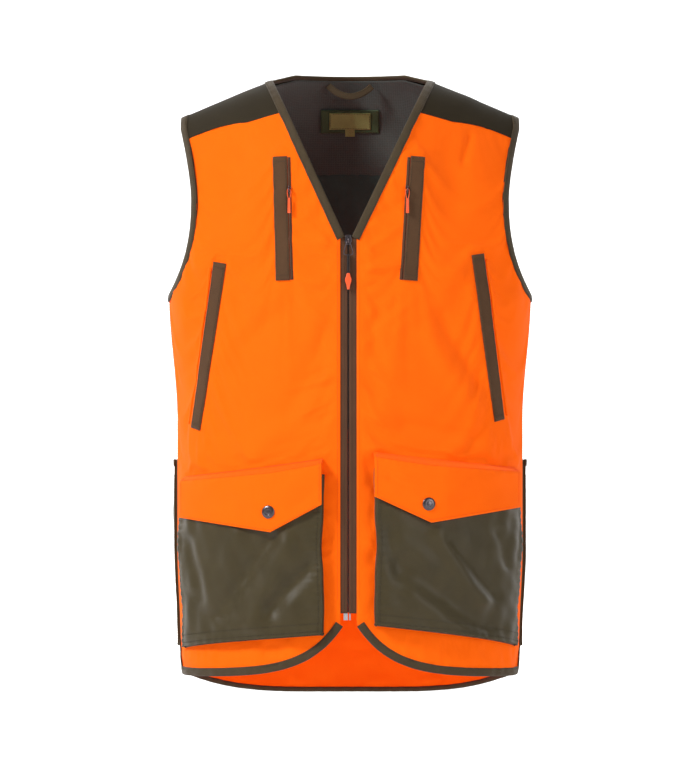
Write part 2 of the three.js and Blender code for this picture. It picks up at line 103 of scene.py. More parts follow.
def surface(angle, h):
    angle, h = np.broadcast_arrays(np.asarray(angle, float), np.asarray(h, float))
    x = half_width(h) * np.sin(angle)
    below = np.clip(ridge(x) - h, 0, ROUND)
    depth = np.where(np.cos(angle) > 0, FRONT_D, BACK_D)
    y = -np.cos(angle) * depth * np.sqrt(1 - (1 - below / ROUND) ** 2)
    return np.stack([x, y, h - HEIGHT], -1)


def normal(angle, h):
    angle, h = np.broadcast_arrays(np.asarray(angle, float), np.asarray(h, float))
    level = np.minimum(h, ridge(half_width(h) * np.sin(angle)) - 0.6)
    across = surface(angle + 0.002, level) - surface(angle - 0.002, level)
    up = surface(angle, level + 0.4) - surface(angle, level - 0.4)
    return unit(np.cross(across, up))


def front(x, h, lift=0):
    return np.arcsin(np.clip(x / (half_width(np.asarray(h, float)) + lift), -1, 1))


def back(x, h, lift=0):
    return math.pi - front(x, h, lift)


# %% Cut edges of the panels
def armhole(h):
    low, high = np.clip((594 - h) / 114, 0, 1), np.clip((h - 594) / 84, 0, 1)
    return 188 + (ARMPIT_W - 188) * low ** 2.4 + 13.5 * high ** 1.5


def back_armhole(h):
    return armhole(h) - 3 * ease((h - ARMPIT_H) / 60)


def neck_edge(sign, h):
    return mix(ZIP_X + sign * 5.5, sign * NECK_HALF, (h - V_POINT) / (NECK_H - 2 - V_POINT))


def neckline(x):
    """The back neck edge runs level, then curves forward to the shoulder line."""
    x = np.abs(x)
    dip = 12 * np.clip(1 - x / NECK_REACH, 0, 1)
    return np.where(x < NECK_REACH, np.minimum(HEIGHT - 0.5, ridge(x) - dip), ridge(x))


def front_hem(x):
    return 26 + 77 * np.exp(-np.abs(x) / 42)


def back_hem(angle):
    return 27 * np.abs(np.sin(angle)) ** 4


# %% [markdown]
# ## Folds
# Real cloth is never smooth: it buckles between its seams and hangs from them.
# Trims could each be shrink-wrapped onto the finished panel, which is slow and leaves dents.
# Instead a fold field keeps how far each relaxed panel has moved from the plain surface.
# Every trim, pocket and stitch asks the field, so it rides on the same folds.

# %% Fold field
class Folds:
    """Displacements of one relaxed panel, looked up by place on the surface."""

    def __init__(self):
        self.tree, self.moves = None, None

    def learn(self, places, moves):
        self.tree = KDTree(len(places))
        for i, p in enumerate(places):
            self.tree.insert(p, i)
        self.tree.balance()
        self.moves = moves

    def at(self, places):
        if self.tree is None:
            return np.zeros_like(places)
        out = np.empty_like(places)
        for i, p in enumerate(places):
            near = self.tree.find_n(p, 4)
            weights = np.array([1 / (d + 0.3) for _, _, d in near])
            picks = self.moves[[k for _, k, _ in near]]
            out[i] = (picks * weights[:, None]).sum(0) / weights.sum()
        return out


front_folds = {name: Folds() for name in SIDES}
back_folds = Folds()
flat = Folds()


def place(angle, h, lift=0, folds=flat):
    """Points on the folded cloth, in millimetres."""
    base = surface(angle, h)
    lifted = base + normal(angle, h) * np.asarray(lift, float)[..., None]
    moved = folds.at(base.reshape(-1, 3)).reshape(base.shape)
    return lifted + moved


# %% Standing off a panel, and ripples
def standing(angle, h, lift, folds, fade=12, least=-math.inf):
    """Points that stand off a panel and follow its folds less the further off they are."""
    base = surface(angle, h)
    moved = folds.at(base.reshape(-1, 3)).reshape(base.shape)
    share = np.clip(1 - lift / fade, 0, 1)[..., None]
    return base + normal(angle, h) * np.maximum(lift, least)[..., None] + moved * share


def waves(angle, h, seed, wavelength, count=7, lean=0.6):
    """Soft random ripples with a mean wavelength in millimetres, between -1 and 1."""
    rng = np.random.RandomState(seed)
    arc = np.asarray(angle) * 165
    total = 0
    for _ in range(count):
        turn = rng.normal(0, lean)
        k = 2 * math.pi / (wavelength * rng.uniform(0.7, 1.6))
        total = total + np.sin(k * (arc * math.cos(turn) + h * math.sin(turn)) + rng.uniform(0, 6.3))
    return total / math.sqrt(count) / 1.5


# %% [markdown]
# ## Meshes
# A cloth has two faces and a rounded rim.  A Solidify modifier could add the second face,
# but here both faces are grids of points, so each can stand exactly where the cloth does.

# %% Mesh helpers
def new_object(name, points, faces):
    mesh = bpy.data.meshes.new(name)
    places = np.asarray(points).reshape(-1, 3) * MM
    mesh.from_pydata(places.tolist(), [], [list(map(int, f)) for f in faces])
    mesh.update()
    obj = bpy.data.objects.new(name, mesh)
    bpy.context.scene.collection.objects.link(obj)
    mesh.shade_smooth()
    return obj


def grid_faces(rows, columns, start=0, flip=False):
    a = start + np.arange(rows - 1)[:, None] * columns + np.arange(columns - 1)[None, :]
    quads = np.stack([a, a + 1, a + columns + 1, a + columns], -1).reshape(-1, 4)
    return quads[:, ::-1] if flip else quads


def tube_faces(count, k, wrap=False):
    """Faces between closed sections of k points, and a cap at each end."""
    faces = []
    for r in range(count if wrap else count - 1):
        a, b = r * k, ((r + 1) % count) * k
        faces += [(a + i, a + (i + 1) % k, b + (i + 1) % k, b + i) for i in range(k)]
    if not wrap:
        faces += [tuple(range(k))[::-1], tuple((count - 1) * k + i for i in range(k))]
    return faces


def outward_faces(obj):
    """Turn all faces round if the closed mesh is inside out."""
    mesh = obj.data
    points = np.empty(len(mesh.vertices) * 3)
    mesh.vertices.foreach_get("co", points)
    points = points.reshape(-1, 3)
    mesh.calc_loop_triangles()
    tri = np.empty(len(mesh.loop_triangles) * 3, int)
    mesh.loop_triangles.foreach_get("vertices", tri)
    a, b, c = (points[tri.reshape(-1, 3)[:, k]] for k in range(3))
    if (a * np.cross(b, c)).sum() < 0:
        mesh.flip_normals()


def dress(obj, material, uv=None):
    """Give a closed mesh its material, and its weave a place on every vertex."""
    if uv is not None:
        layer = obj.data.uv_layers.new(name="cloth")
        loops = np.empty(len(obj.data.loops), int)
        obj.data.loops.foreach_get("vertex_index", loops)
        layer.data.foreach_set("uv", uv[loops].ravel())
    obj.data.materials.append(material)
    outward_faces(obj)
    return obj


def cloth_uv(outer, count):
    """Lay the weave out in real metres, from the lengths of the middle row and column."""
    rows, columns = outer.shape[:2]
    u, v = np.meshgrid(run_along(outer[rows // 2]) * MM, run_along(outer[:, columns // 2]) * MM)
    uv = np.zeros((count, 2))
    uv[:2 * rows * columns] = np.tile(np.stack([u, v], -1).reshape(-1, 2), (2, 1))
    return uv


# %% Closed cloth
def closed_cloth(name, outer, inner, material, round_edge=0.5):
    """A closed sheet between two grids of points, with a rounded rim."""
    rows, columns = outer.shape[:2]
    n = rows * columns
    outer_points, inner_points = outer.reshape(-1, 3), inner.reshape(-1, 3)
    index = np.arange(n).reshape(rows, columns)
    rim = np.concatenate([index[0, :-1], index[:-1, -1], index[-1, :0:-1], index[:0:-1, 0]])
    o, i = outer_points[rim], inner_points[rim]
    outward = np.cross(np.roll(o, -1, 0) - np.roll(o, 1, 0), o - i)
    outward /= np.linalg.norm(outward, axis=1, keepdims=True) + 1e-9
    thick = np.linalg.norm(o - i, axis=1, keepdims=True)
    middle = (o + i) / 2 + outward * thick * round_edge
    mids = np.arange(2 * n, 2 * n + len(rim))
    next_rim, next_mids = np.roll(rim, -1), np.roll(mids, -1)
    faces = [grid_faces(rows, columns), grid_faces(rows, columns, n, flip=True),
             np.stack([next_rim, rim, mids, next_mids], -1),
             np.stack([next_mids, mids, rim + n, next_rim + n], -1)]
    obj = new_object(name, np.concatenate([outer_points, inner_points, middle]), np.concatenate(faces))
    return dress(obj, material, cloth_uv(outer, len(obj.data.vertices)))


def sheet_piece(name, angle, h, low, high, material, folds=flat):
    outer = place(angle, h, np.broadcast_to(high, angle.shape), folds)
    inner = place(angle, h, np.broadcast_to(low, angle.shape), folds)
    return closed_cloth(name, outer, inner, material)


# %% [markdown]
# ## Materials
# The real vest mixes dyed polyester, coated olive cloth, knitted mesh, plated metal and plastic.
# A flat colour would look like paper.  A woven cloth shows threads close up and mottle from afar,
# so each cloth has a weave in real millimetres, a soft mottle, and its own sheen.

# %% Cloth materials
def node_tree(name):
    material = bpy.data.materials.new(name)
    material.use_nodes = True
    nodes = material.node_tree.nodes
    return material, nodes, material.node_tree.links, nodes["Principled BSDF"]


def add_node(nodes, kind, **values):
    """A shader node with its inputs set by name; an underscore stands for a space."""
    node = nodes.new(f"ShaderNode{kind}")
    set_inputs(node, **values)
    return node


def set_inputs(node, **values):
    for title, value in values.items():
        node.inputs[title.replace("_", " ")].default_value = value


def cloth_uv_node(nodes):
    uv = nodes.new("ShaderNodeUVMap")
    uv.uv_map = "cloth"
    return uv.outputs["UV"]


def color_ramp(nodes, dark, light, start=0.0, end=1.0):
    ramp = nodes.new("ShaderNodeValToRGB")
    first, last = ramp.color_ramp.elements
    first.position, last.position = start, end
    first.color, last.color = (*dark, 1), (*light, 1)
    return ramp


def add_bump(nodes, links, shader, height, strength, distance):
    bump = add_node(nodes, "Bump", Strength=strength, Distance=distance)
    links.new(height, bump.inputs["Height"])
    links.new(bump.outputs["Normal"], shader.inputs["Normal"])


# %% Woven cloth
def weave_heights(nodes, links, uv, pitch, turn):
    """Two sets of crossing threads, multiplied."""
    turned = nodes.new("ShaderNodeMapping")
    turned.inputs["Rotation"].default_value[2] = math.radians(turn)
    links.new(uv, turned.inputs["Vector"])
    threads = nodes.new("ShaderNodeMath")
    threads.operation = "MULTIPLY"
    for k, (direction, share) in enumerate((("X", 1.0), ("Y", 0.8))):
        wave = add_node(nodes, "TexWave", Scale=2 * math.pi / (20 * pitch * MM * share), Distortion=0.6)
        wave.bands_direction = direction
        links.new(turned.outputs["Vector"], wave.inputs["Vector"])
        links.new(wave.outputs["Fac"], threads.inputs[k])
    return threads.outputs[0]


def mottle_mask(nodes, links, uv):
    """Large soft blotches with a little fine fleck."""
    blotch = add_node(nodes, "TexNoise", Scale=26, Detail=5, Roughness=0.6)
    fleck = add_node(nodes, "TexNoise", Scale=900, Detail=2)
    blend = nodes.new("ShaderNodeMix")
    blend.inputs[0].default_value = 0.4
    for k, noise in ((2, blotch), (3, fleck)):
        links.new(uv, noise.inputs["Vector"])
        links.new(noise.outputs["Fac"], blend.inputs[k])
    return blend.outputs[0]


def fabric(name, color, rough=0.8, sheen=0.2, pitch=0.9, weave=0.25, mottle=0.08, turn=45, painted_glow=0):
    """A woven cloth: base colour, thread pitch in millimetres, weave height, colour mottle."""
    material, nodes, links, shader = node_tree(name)
    uv = cloth_uv_node(nodes)
    threads = weave_heights(nodes, links, uv, pitch, turn)
    dark = [c * (1 - mottle * 2) for c in color]
    light = [min(1, c * (1 + mottle)) for c in color]
    ramp = color_ramp(nodes, dark, light, 0.3, 0.7)
    links.new(mottle_mask(nodes, links, uv), ramp.inputs["Fac"])
    # The weave also darkens the base colour by up to a quarter where the threads dip: painted shade between
    # the threads.
    shade = nodes.new("ShaderNodeMix")
    shade.data_type = "RGBA"
    shade.blend_type = "MULTIPLY"
    shade.inputs[0].default_value = 0.25
    links.new(ramp.outputs["Color"], shade.inputs[6])
    links.new(threads, shade.inputs[7])
    links.new(shade.outputs[2], shader.inputs["Base Color"])
    add_bump(nodes, links, shader, threads, weave, 0.0003)
    set_inputs(shader, Roughness=rough, Sheen_Weight=sheen, Sheen_Roughness=0.5,
               Specular_IOR_Level=0.08 if painted_glow else 0.22)
    if painted_glow:
        # A fluorescent dye answers daylight with red light of its own; here a constant red emission stands in
        # for it, painted glow that also keeps the cloth bright red in shade.
        set_inputs(shader, Emission_Color=(1, 0.03, 0, 1), Emission_Strength=painted_glow)
    return material


# %% Metal and plastic
def hard(name, color, rough, metallic):
    """Plated metal or moulded plastic with fine wear in its gloss."""
    material, nodes, links, shader = node_tree(name)
    place_in = nodes.new("ShaderNodeTexCoord")
    grain = add_node(nodes, "TexNoise", Scale=700, Detail=6)
    links.new(place_in.outputs["Object"], grain.inputs["Vector"])
    span = add_node(nodes, "MapRange", To_Min=max(0.05, rough - 0.1), To_Max=min(1, rough + 0.1))
    links.new(grain.outputs["Fac"], span.inputs["Value"])
    links.new(span.outputs["Result"], shader.inputs["Roughness"])
    ramp = color_ramp(nodes, [c * 0.8 for c in color], color)
    links.new(grain.outputs["Fac"], ramp.inputs["Fac"])
    links.new(ramp.outputs["Color"], shader.inputs["Base Color"])
    add_bump(nodes, links, shader, grain.outputs["Fac"], 0.15, 0.0001)
    set_inputs(shader, Metallic=metallic)
    return material


# %% Cloths and hard finishes of the vest
# The orange cloth and its orange thread get that constant red emission: painted glow on top of their dye.
ORANGE = fabric("orange_cloth", (0.95, 0.165, 0.003), 0.9, 0.03, 0.9, 0.2, 0.03, 20, painted_glow=0.3)
OLIVE = fabric("olive_cloth", (0.066, 0.049, 0.019), 0.4, 0.1, 0.8, 0.2, 0.1)
YOKE = fabric("yoke_cloth", (0.032, 0.022, 0.009), 0.8, 0.0, 0.8, 0.2, 0.1)
TRIM = fabric("trim_tape", (0.115, 0.054, 0.022), 0.8, 0.1, 0.7, 0.4, 0.12)
BIND = fabric("binding_tape", (0.078, 0.052, 0.024), 0.75, 0.1, 0.7, 0.4, 0.12)
ZIP_TAPE = fabric("zip_tape", (0.125, 0.052, 0.024), 0.8, 0.1, 1.1, 0.6, 0.12, 0)
LINING = fabric("lining_cloth", (0.06, 0.1, 0.092), 0.9, 0.1, 1.2, 0.4, 0.15)
THREAD_O = fabric("thread_orange", (0.85, 0.11, 0.003), 0.7, 0.1, 0.3, 0.3, 0.05, painted_glow=0.15)
THREAD_D = fabric("thread_dark", (0.05, 0.035, 0.016), 0.7, 0.1, 0.3, 0.3, 0.1)
LABEL = fabric("label_face", (0.35, 0.36, 0.125), 0.5, 0.1, 0.5, 0.3, 0.15)
LABEL_BASE = fabric("label_base", (0.062, 0.1, 0.042), 0.6, 0.1, 0.6, 0.3, 0.15)
METAL = hard("gunmetal", (0.13, 0.11, 0.12), 0.32, 1.0)
GRIP = hard("grip_plastic", (1.0, 0.11, 0.02), 0.4, 0.0)
PALE = hard("retainer_plastic", (0.42, 0.42, 0.44), 0.45, 0.0)


# %% Knitted mesh
def mesh_cloth(name, color, glint, pitch):
    """Knitted mesh: rows of small dark holes between lighter threads."""
    material, nodes, links, shader = node_tree(name)
    uv = cloth_uv_node(nodes)
    holes = add_node(nodes, "TexVoronoi", Scale=1 / (pitch * MM), Randomness=0.15)
    drift = add_node(nodes, "TexNoise", Scale=22, Detail=6)
    links.new(uv, holes.inputs["Vector"])
    links.new(uv, drift.inputs["Vector"])
    ramp = color_ramp(nodes, [c * 0.25 for c in color], color, 0.22, 0.5)
    links.new(holes.outputs["Distance"], ramp.inputs["Fac"])
    warm = nodes.new("ShaderNodeMix")
    warm.data_type = "RGBA"
    links.new(drift.outputs["Fac"], warm.inputs[0])
    links.new(ramp.outputs["Color"], warm.inputs[6])
    warm.inputs[7].default_value = (*glint, 1)
    links.new(warm.outputs[2], shader.inputs["Base Color"])
    add_bump(nodes, links, shader, holes.outputs["Distance"], 0.6, 0.0005)
    set_inputs(shader, Roughness=0.8, Sheen_Weight=0.2)
    return material


MESH = mesh_cloth("lining_mesh", (0.055, 0.08, 0.072), (0.06, 0.06, 0.052), 2.2)
print("materials:", sorted(m.name for m in bpy.data.materials))

# %% [markdown]
# ## Relaxing a panel
# Listed folds look drawn, and a cloth simulation alone gives folds in random places.
# Both are used: the panel is pinned along its seams, grown a little, and left to buckle and hang,
# then a few known creases are added.  Its move becomes the fold field that its trims read.

# %% Cloth solver
SOLVER_STEPS = 22


def from_sides(grid):
    """How many columns each point of a grid lies from the nearer side edge."""
    step = np.arange(grid.shape[1])
    return np.minimum(step, step[::-1])[None, :]


def settle(start, pins, growth):
    """Run the cloth solver on a grid of points and give back where they end."""
    rows, columns = pins.shape
    obj = new_object("relaxing", start, grid_faces(rows, columns))
    group = obj.vertex_groups.new(name="pin")
    for i, weight in enumerate(pins.ravel()):
        group.add([i], float(weight), "REPLACE")
    cloth = obj.modifiers.new("cloth", "CLOTH").settings
    cloth.quality = 5
    cloth.mass = 0.15
    cloth.tension_stiffness = cloth.compression_stiffness = 18
    cloth.shear_stiffness = 6
    cloth.bending_stiffness = 0.15
    cloth.vertex_group_mass = "pin"
    cloth.shrink_min = -growth
    cloth.effector_weights.gravity = 0.5
    scene = bpy.context.scene
    for step in range(1, SOLVER_STEPS + 1):
        scene.frame_set(step)
    shape = obj.evaluated_get(bpy.context.evaluated_depsgraph_get()).to_mesh()
    points = np.empty(len(shape.vertices) * 3)
    shape.vertices.foreach_get("co", points)
    obj.modifiers.clear()
    bpy.data.objects.remove(obj)
    scene.frame_set(1)
    return points.reshape(rows, columns, 3) / MM


# %% Relaxing
def relax(folds, angle, h, pins, growth, cap, seed, handmade):
    rest = surface(angle, h)
    start = rest + normal(angle, h) * (0.8 * waves(angle, h, seed, 60) * (1 - pins))[..., None]
    moved = settle(start, pins, growth) - rest
    size = np.linalg.norm(moved, axis=-1, keepdims=True)
    moved = moved * cap / (cap + size)
    moved = moved + normal(angle, h) * (1.5 * handmade * (1 - pins))[..., None]
    # Nothing moves right beside the sewn side edges, so the bindings stay on top.
    moved = moved * np.clip((from_sides(angle)[..., None] - 1) / 6, 0, 1)
    folds.learn(rest.reshape(-1, 3), moved.reshape(-1, 3))
    print("relaxed", angle.size, "points, largest move", round(float(np.abs(moved).max()), 2), "mm")


# %% [markdown]
# ## The two fronts
# A front is one piece of orange cloth from the hem to the yoke seam, cut out for arm and neck.
# It could be trimmed from a larger sheet, which leaves ragged edges.  A grid whose outer columns
# run along the real edges gives clean seams, and the solver keeps its rows and columns.

# %% Places of welts, flaps and pockets
# Each welt's middle line and each flap's corners, as distance from the middle and height.
WELTS = {
    "right": {"chest": ((79, 496), (82.5, 642)), "hand": ((183, 320), (153.5, 517))},
    "left": {"chest": ((71, 496), (80, 642)), "hand": ((177, 330), (151, 527))},
}
FLAPS = {
    "right": dict(outer=205, inner=34, outer_top=262, inner_top=284, inner_low=231, outer_low=214,
                  tip_x=97, tip=198, snap=(99, 222), pocket_inner=33, pocket_outer_low=58,
                  pocket_inner_low=76),
    "left": dict(outer=205, inner=30, outer_top=273, inner_top=292, inner_low=241, outer_low=227,
                 tip_x=99, tip=210, snap=(95.5, 231.5), pocket_inner=31, pocket_outer_low=60,
                 pocket_inner_low=87),
}
SIDE_ANGLE = math.radians(89.88)


# %% Grid of a front
def front_grid(name, columns=100, low_rows=124, high_rows=66):
    sign = SIDES[name]
    u = np.linspace(0, 1, columns)[None, :]
    t = np.linspace(0, 1, low_rows)[:-1, None]
    level = mix(110, ARMPIT_H, t)
    inner = front(ZIP_X + sign * 9.8, level)
    angle_low = mix(sign * SIDE_ANGLE, inner, u)
    h_low = mix(front_hem(WAIST_W * np.sin(angle_low)), ARMPIT_H, t)
    t = np.linspace(0, 1, high_rows)[:, None]
    hi, ho = mix(ARMPIT_H, SEAM_IN, t), mix(ARMPIT_H, SEAM_OUT, t)
    outer = sign * np.minimum(np.arcsin(np.clip((armhole(ho) - 0.5) / half_width(ho), -1, 1)), SIDE_ANGLE)
    inner_x = ZIP_X + sign * np.maximum(9.8, sign * (neck_edge(sign, hi) - ZIP_X) + 0.6)
    angle_high = mix(outer, front(inner_x, hi), u)
    h_high = mix(ho, hi, u) + 4 * np.sin(np.clip(u * 1.6, 0, 1) * math.pi) * t ** 2
    return np.vstack([angle_low, angle_high]), np.vstack([h_low, h_high])


# %% Creases of the fronts
def away_from(x, h, x0, h0, x1, h1):
    """Distance in the front view from each point to a line with two ends."""
    t = ((x - x0) * (x1 - x0) + (h - h0) * (h1 - h0)) / ((x1 - x0) ** 2 + (h1 - h0) ** 2)
    t = np.clip(t, 0, 1)
    return np.hypot(x - mix(x0, x1, t), h - mix(h0, h1, t))


def crease(x, h, line, width, depth):
    """A soft groove (depth below zero) or ridge along a line, fading at both ends."""
    return depth * np.exp(-(away_from(x, h, *line) / width) ** 2)


# Each crease: from x, height to x, height in millimetres, its half width, and its depth.
FRONT_FOLDS = {
    "right": [((138, 656, 150, 604), 24, -3.4), ((112, 575, 180, 512), 20, 2.4),
              ((29, 428, 74, 338), 13, -2.2), ((48, 350, 125, 288), 14, 2.0),
              ((182, 376, 131, 290), 10, -2.0), ((70, 470, 130, 420), 12, -1.4),
              ((100, 470, 160, 400), 14, 1.6)],
    "left": [((124, 640, 128, 592), 22, -3.4), ((144, 668, 139, 640), 5, -1.8),
             ((109, 453, 154, 376), 9, -2.6), ((93, 430, 144, 350), 12, 2.4),
             ((35, 462, 14, 376), 9, -2.0), ((54, 440, 42, 340), 15, 1.8),
             ((144, 312, 67, 325), 8, -1.8), ((14, 293, 34, 240), 6, -2.0),
             ((170, 470, 110, 520), 14, 1.8)],
}


def zip_gathers(name, x, h):
    """Cloth gathers where it is sewn to the zip, and a little along its hem."""
    away = x - 11
    rng = np.random.RandomState(5 if name == "left" else 9)
    total = 0
    for _ in range(44):
        start, reach = rng.uniform(170, 560), rng.uniform(20, 60)
        tilt, width = rng.uniform(0.1, 0.9), rng.uniform(2.6, 6.5)
        middle = start + tilt * away * (1 if start > 400 else -0.6)
        size = rng.uniform(0.5, 1.3) * (1 if rng.rand() < 0.5 else -1)
        total = total + 1.6 * size * np.exp(-((h - middle) / width) ** 2 - (away / reach) ** 2)
    hem = 0.8 * waves(x / 165, h * 0.25, 77 + len(name), 13) * np.exp(-np.clip(h - front_hem(x), 0, 99) / 16)
    return total + hem


# %% Where the fronts are held
def front_pins(name, angle, h):
    sign, flap = SIDES[name], FLAPS[name]
    x = half_width(h) * np.sin(angle) * sign
    pins = np.where(from_sides(angle) < 2, 1.0, 0.0) + 0 * h
    pins[-2:] = 1
    pins[:2] = np.maximum(pins[:2], 0.35)
    for kind in ("chest", "hand"):
        start, end = WELTS[name][kind]
        pins = np.maximum(pins, np.where(away_from(x, h, *start, *end) < 9, 0.8, 0))
    across = np.clip((flap["outer"] - x) / (flap["outer"] - flap["inner"]), 0, 1)
    top = mix(flap["outer_top"], flap["inner_top"], across)
    low = mix(flap["pocket_outer_low"], flap["pocket_inner_low"], across)
    covered = (x > flap["inner"]) & (h < top) & (h > low)
    return np.maximum(pins, np.where(covered, 0.75, 0))


# %% Front panels
front_panels = {}
for name in SIDES:
    angle, h = front_grid(name)
    x = SIDES[name] * half_width(h) * np.sin(angle)
    handmade = sum(crease(x, h, *fold) for fold in FRONT_FOLDS[name]) + zip_gathers(name, x, h)
    pins = front_pins(name, angle, h)
    relax(front_folds[name], angle, h, pins, 0.022, 6.5, 11 + SIDES[name], handmade)
    panel = sheet_piece(f"front_panel_{name}", angle, h, -0.1, 0.9, ORANGE, front_folds[name])
    front_panels[name] = panel
    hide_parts(f"front_upper_{name}", f"front_lower_{name}")
    print(panel.name, len(panel.data.polygons), "faces")


# %% [markdown]
# ## Which body a piece rides on
# The top of a front is sewn to the shoulders and its lower part swings open.  Two stiff halves
# would tear apart at the joint; here the pieces meant to blend only have their placement baked in.

# %% Riding and baking in place
def front_blend(piece, name):
    """Bake the piece's placement into its mesh; it is not blended between bodies."""
    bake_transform(piece)


def declare(piece, slot, *nodes, body=None, blend=None):
    if nodes:
        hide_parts(*nodes)
    if body:
        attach(piece, body)
    if blend:
        front_blend(piece, blend)


def declare_sheet(piece):
    """The sheet's cut is a rectangle of its own area and height, with a little for the folds."""
    area = sum(p.area for p in piece.data.polygons) / 2
    heights = [v.co.z for v in piece.data.vertices]
    tall = max(max(heights) - min(heights), math.sqrt(area) * 0.3)
    wide = max(area / tall, 0.011)
    print(piece.name, "flat", round(wide * 1000), "x", round(tall * 1000), "mm")


for name, panel in front_panels.items():
    front_blend(panel, name)
    declare_sheet(panel)

# %% [markdown]
# ## Back and yokes
# The back is one orange cloth below a dark yoke that carries the shoulders.  It could mirror the
# front's grid, but its armholes are cut deeper, so it has a grid of its own round the back middle.

# %% Grid of the back
SIDE_EDGE = math.pi - math.radians(90.12)


def back_grid(columns, rows, low, high, side_low, side_high, inset=0.5, crowd=1.0):
    u = np.linspace(-1, 1, columns)[None, :]
    t = 1 - (1 - np.linspace(0, 1, rows)[:, None]) ** crowd
    level = mix(side_low, side_high, t)
    reach = np.arcsin(np.clip((back_armhole(level) - inset) / half_width(level), -1, 1))
    reach = np.where(level < ARMPIT_H + 1, SIDE_EDGE, np.minimum(reach, math.radians(89.6)))
    angle = math.pi + u * reach
    x = half_width(level) * np.sin(angle)
    return angle, mix(low(angle, x), high(angle, x), t)


def level_line(height):
    return lambda angle, x: 0 * angle + height


# %% Back panel
low_angle, low_h = back_grid(110, 84, lambda a, x: back_hem(a) + 0.5, level_line(ARMPIT_H), 20, ARMPIT_H)
high_angle, high_h = back_grid(110, 36, level_line(ARMPIT_H), level_line(SEAM_BACK),
                               ARMPIT_H + 2, SEAM_BACK)
angle, h = np.vstack([low_angle[:-1], high_angle]), np.vstack([low_h[:-1], high_h])
pins = np.where(from_sides(angle) < 2, 1.0, 0.0) + 0 * h
pins[-2:] = 1
pins[:2] = 0.5
pins = np.maximum(pins, np.where((h < 282) & (h > 56), 0.6, 0))
from_middle = np.abs(half_width(h) * np.sin(angle))
hem_gathers = waves(angle, h * 0.3, 93, 15) * np.exp(-(h - back_hem(angle)) / 22)
broad_folds = 1.6 * waves(angle, h, 91, 120, lean=1.5)
side_folds = 0.6 * waves(angle, h, 92, 45) * (from_middle > 90)
relax(back_folds, angle, h, pins, 0.02, 6, 31, hem_gathers + broad_folds + side_folds)
back_panel = sheet_piece("back_cloth", angle, h, -0.1, 0.9, ORANGE, back_folds)
declare(back_panel, "orange_cloth", "back_panel", body="shell")
declare_sheet(back_panel)

# %% Seam allowances
# A seam allowance lies inside each side seam and keeps it shut when a front swings.
for name, sign in SIDES.items():
    across, up = np.linspace(-1, 1, 9)[None, :], np.linspace(0, 1, 60)[:, None]
    angle = sign * (math.pi / 2 + 0.042 * across) + 0 * up
    h = mix(72, ARMPIT_H - 12, up) + 0 * across
    allowance = sheet_piece(f"side_seam_tape_{name}", angle, h, -1.4, -0.8, ORANGE, back_folds)
    declare(allowance, "orange_cloth", body="shell")

# %% Back yoke
YOKE_TOP = 690.6
angle, h = back_grid(130, 48, level_line(SEAM_BACK - 1.5), lambda a, x: neckline(x),
                     SEAM_BACK, YOKE_TOP, crowd=2.2)
lift = 0.5 * waves(angle, h, 5, 55) * np.sin(np.linspace(0, math.pi, 48))[:, None]
yoke = sheet_piece("back_yoke_cloth", angle, h, lift + 0.15, lift + 1.25, YOKE, back_folds)
declare(yoke, "yoke_cloth", "back_yoke", body="shell")
declare_sheet(yoke)

# %% Front yokes
# The rows crowd towards the shoulder line, where the surface turns over fastest.
for name, sign in SIDES.items():
    u = np.linspace(0, 1, 60)[None, :]
    t = 1 - (1 - np.linspace(0, 1, 44)[:, None]) ** 2.2
    hi, ho = mix(SEAM_IN - 1.5, NECK_H + 1.3, t), mix(SEAM_OUT - 1.5, YOKE_TOP, t)
    reach = np.abs(ZIP_X + sign * (sign * (neck_edge(sign, hi) - ZIP_X) + 0.6))
    x = mix(armhole(ho) - 0.5, reach, u)
    low = mix(SEAM_OUT, SEAM_IN, u) - 1.5 + 4 * np.sin(np.clip(u * 1.6, 0, 1) * math.pi)
    h = mix(low, ridge(x), t)
    angle = front(sign * x, h)
    inside = np.sin(np.linspace(0, math.pi, 44))[:, None] * np.sin(np.linspace(0, math.pi, 60))[None, :]
    slant = np.exp(-((h - ho - 10 - 30 * u) / 5) ** 2) * 1.3
    lift = inside * (0.7 * waves(angle, h, 8 + sign, 45) + slant)
    piece = sheet_piece(f"front_yoke_cloth_{name}", angle, h, lift + 0.2, lift + 1.3, YOKE, front_folds[name])
    declare(piece, "yoke_cloth", f"front_yoke_{name}", body="shell")
    declare_sheet(piece)

# %% [markdown]
# ## Lining
# A knitted mesh hangs behind the shoulders, with a plain charcoal cloth below its seam.
# A second back panel just inside the first would do, but a real lining hangs a little loose,
# so it bows inward in the middle and keeps close to the back along its edges.

# %% Lining
LINING_SEAM = 627
for title, low, high, material in (("lining_lower", 322, LINING_SEAM + 1, LINING),
                                   ("lining_upper", LINING_SEAM, 0, MESH)):
    u = np.linspace(-1, 1, 90)[None, :]
    t = np.linspace(0, 1, 64)[:, None]
    top_side = high or 682
    level = mix(low, top_side, t)
    reach = np.arcsin((back_armhole(np.maximum(level, ARMPIT_H)) - 7) / ARMPIT_W)
    angle = math.pi + u * reach
    top = high if high else neckline(ARMPIT_W * np.sin(angle)) - 2.5
    h = mix(low, top, t)
    ripple = waves(angle, h, 21, 80) + 0.5 * waves(angle, h, 22, 30)
    middle = np.sin(np.linspace(0, math.pi, 64))[:, None]
    lift = -2.4 - 1.2 * middle * (0.6 + ripple)
    piece = sheet_piece(title, angle, h, lift - 0.4, lift + 0.4, material, back_folds)
    declare(piece, "lining_mesh", *(["back_lining"] if high == 0 else []), body="shell")
    declare_sheet(piece)

# %% [markdown]
# ## Bindings
# A binding is a folded tape round a raw edge, thicker than the cloth and slightly puckered.
# A curve with a bevel could be bent along the edge, but it twists on a doubly curved surface.
# Here its section is set square to the cloth at every step of the edge line.

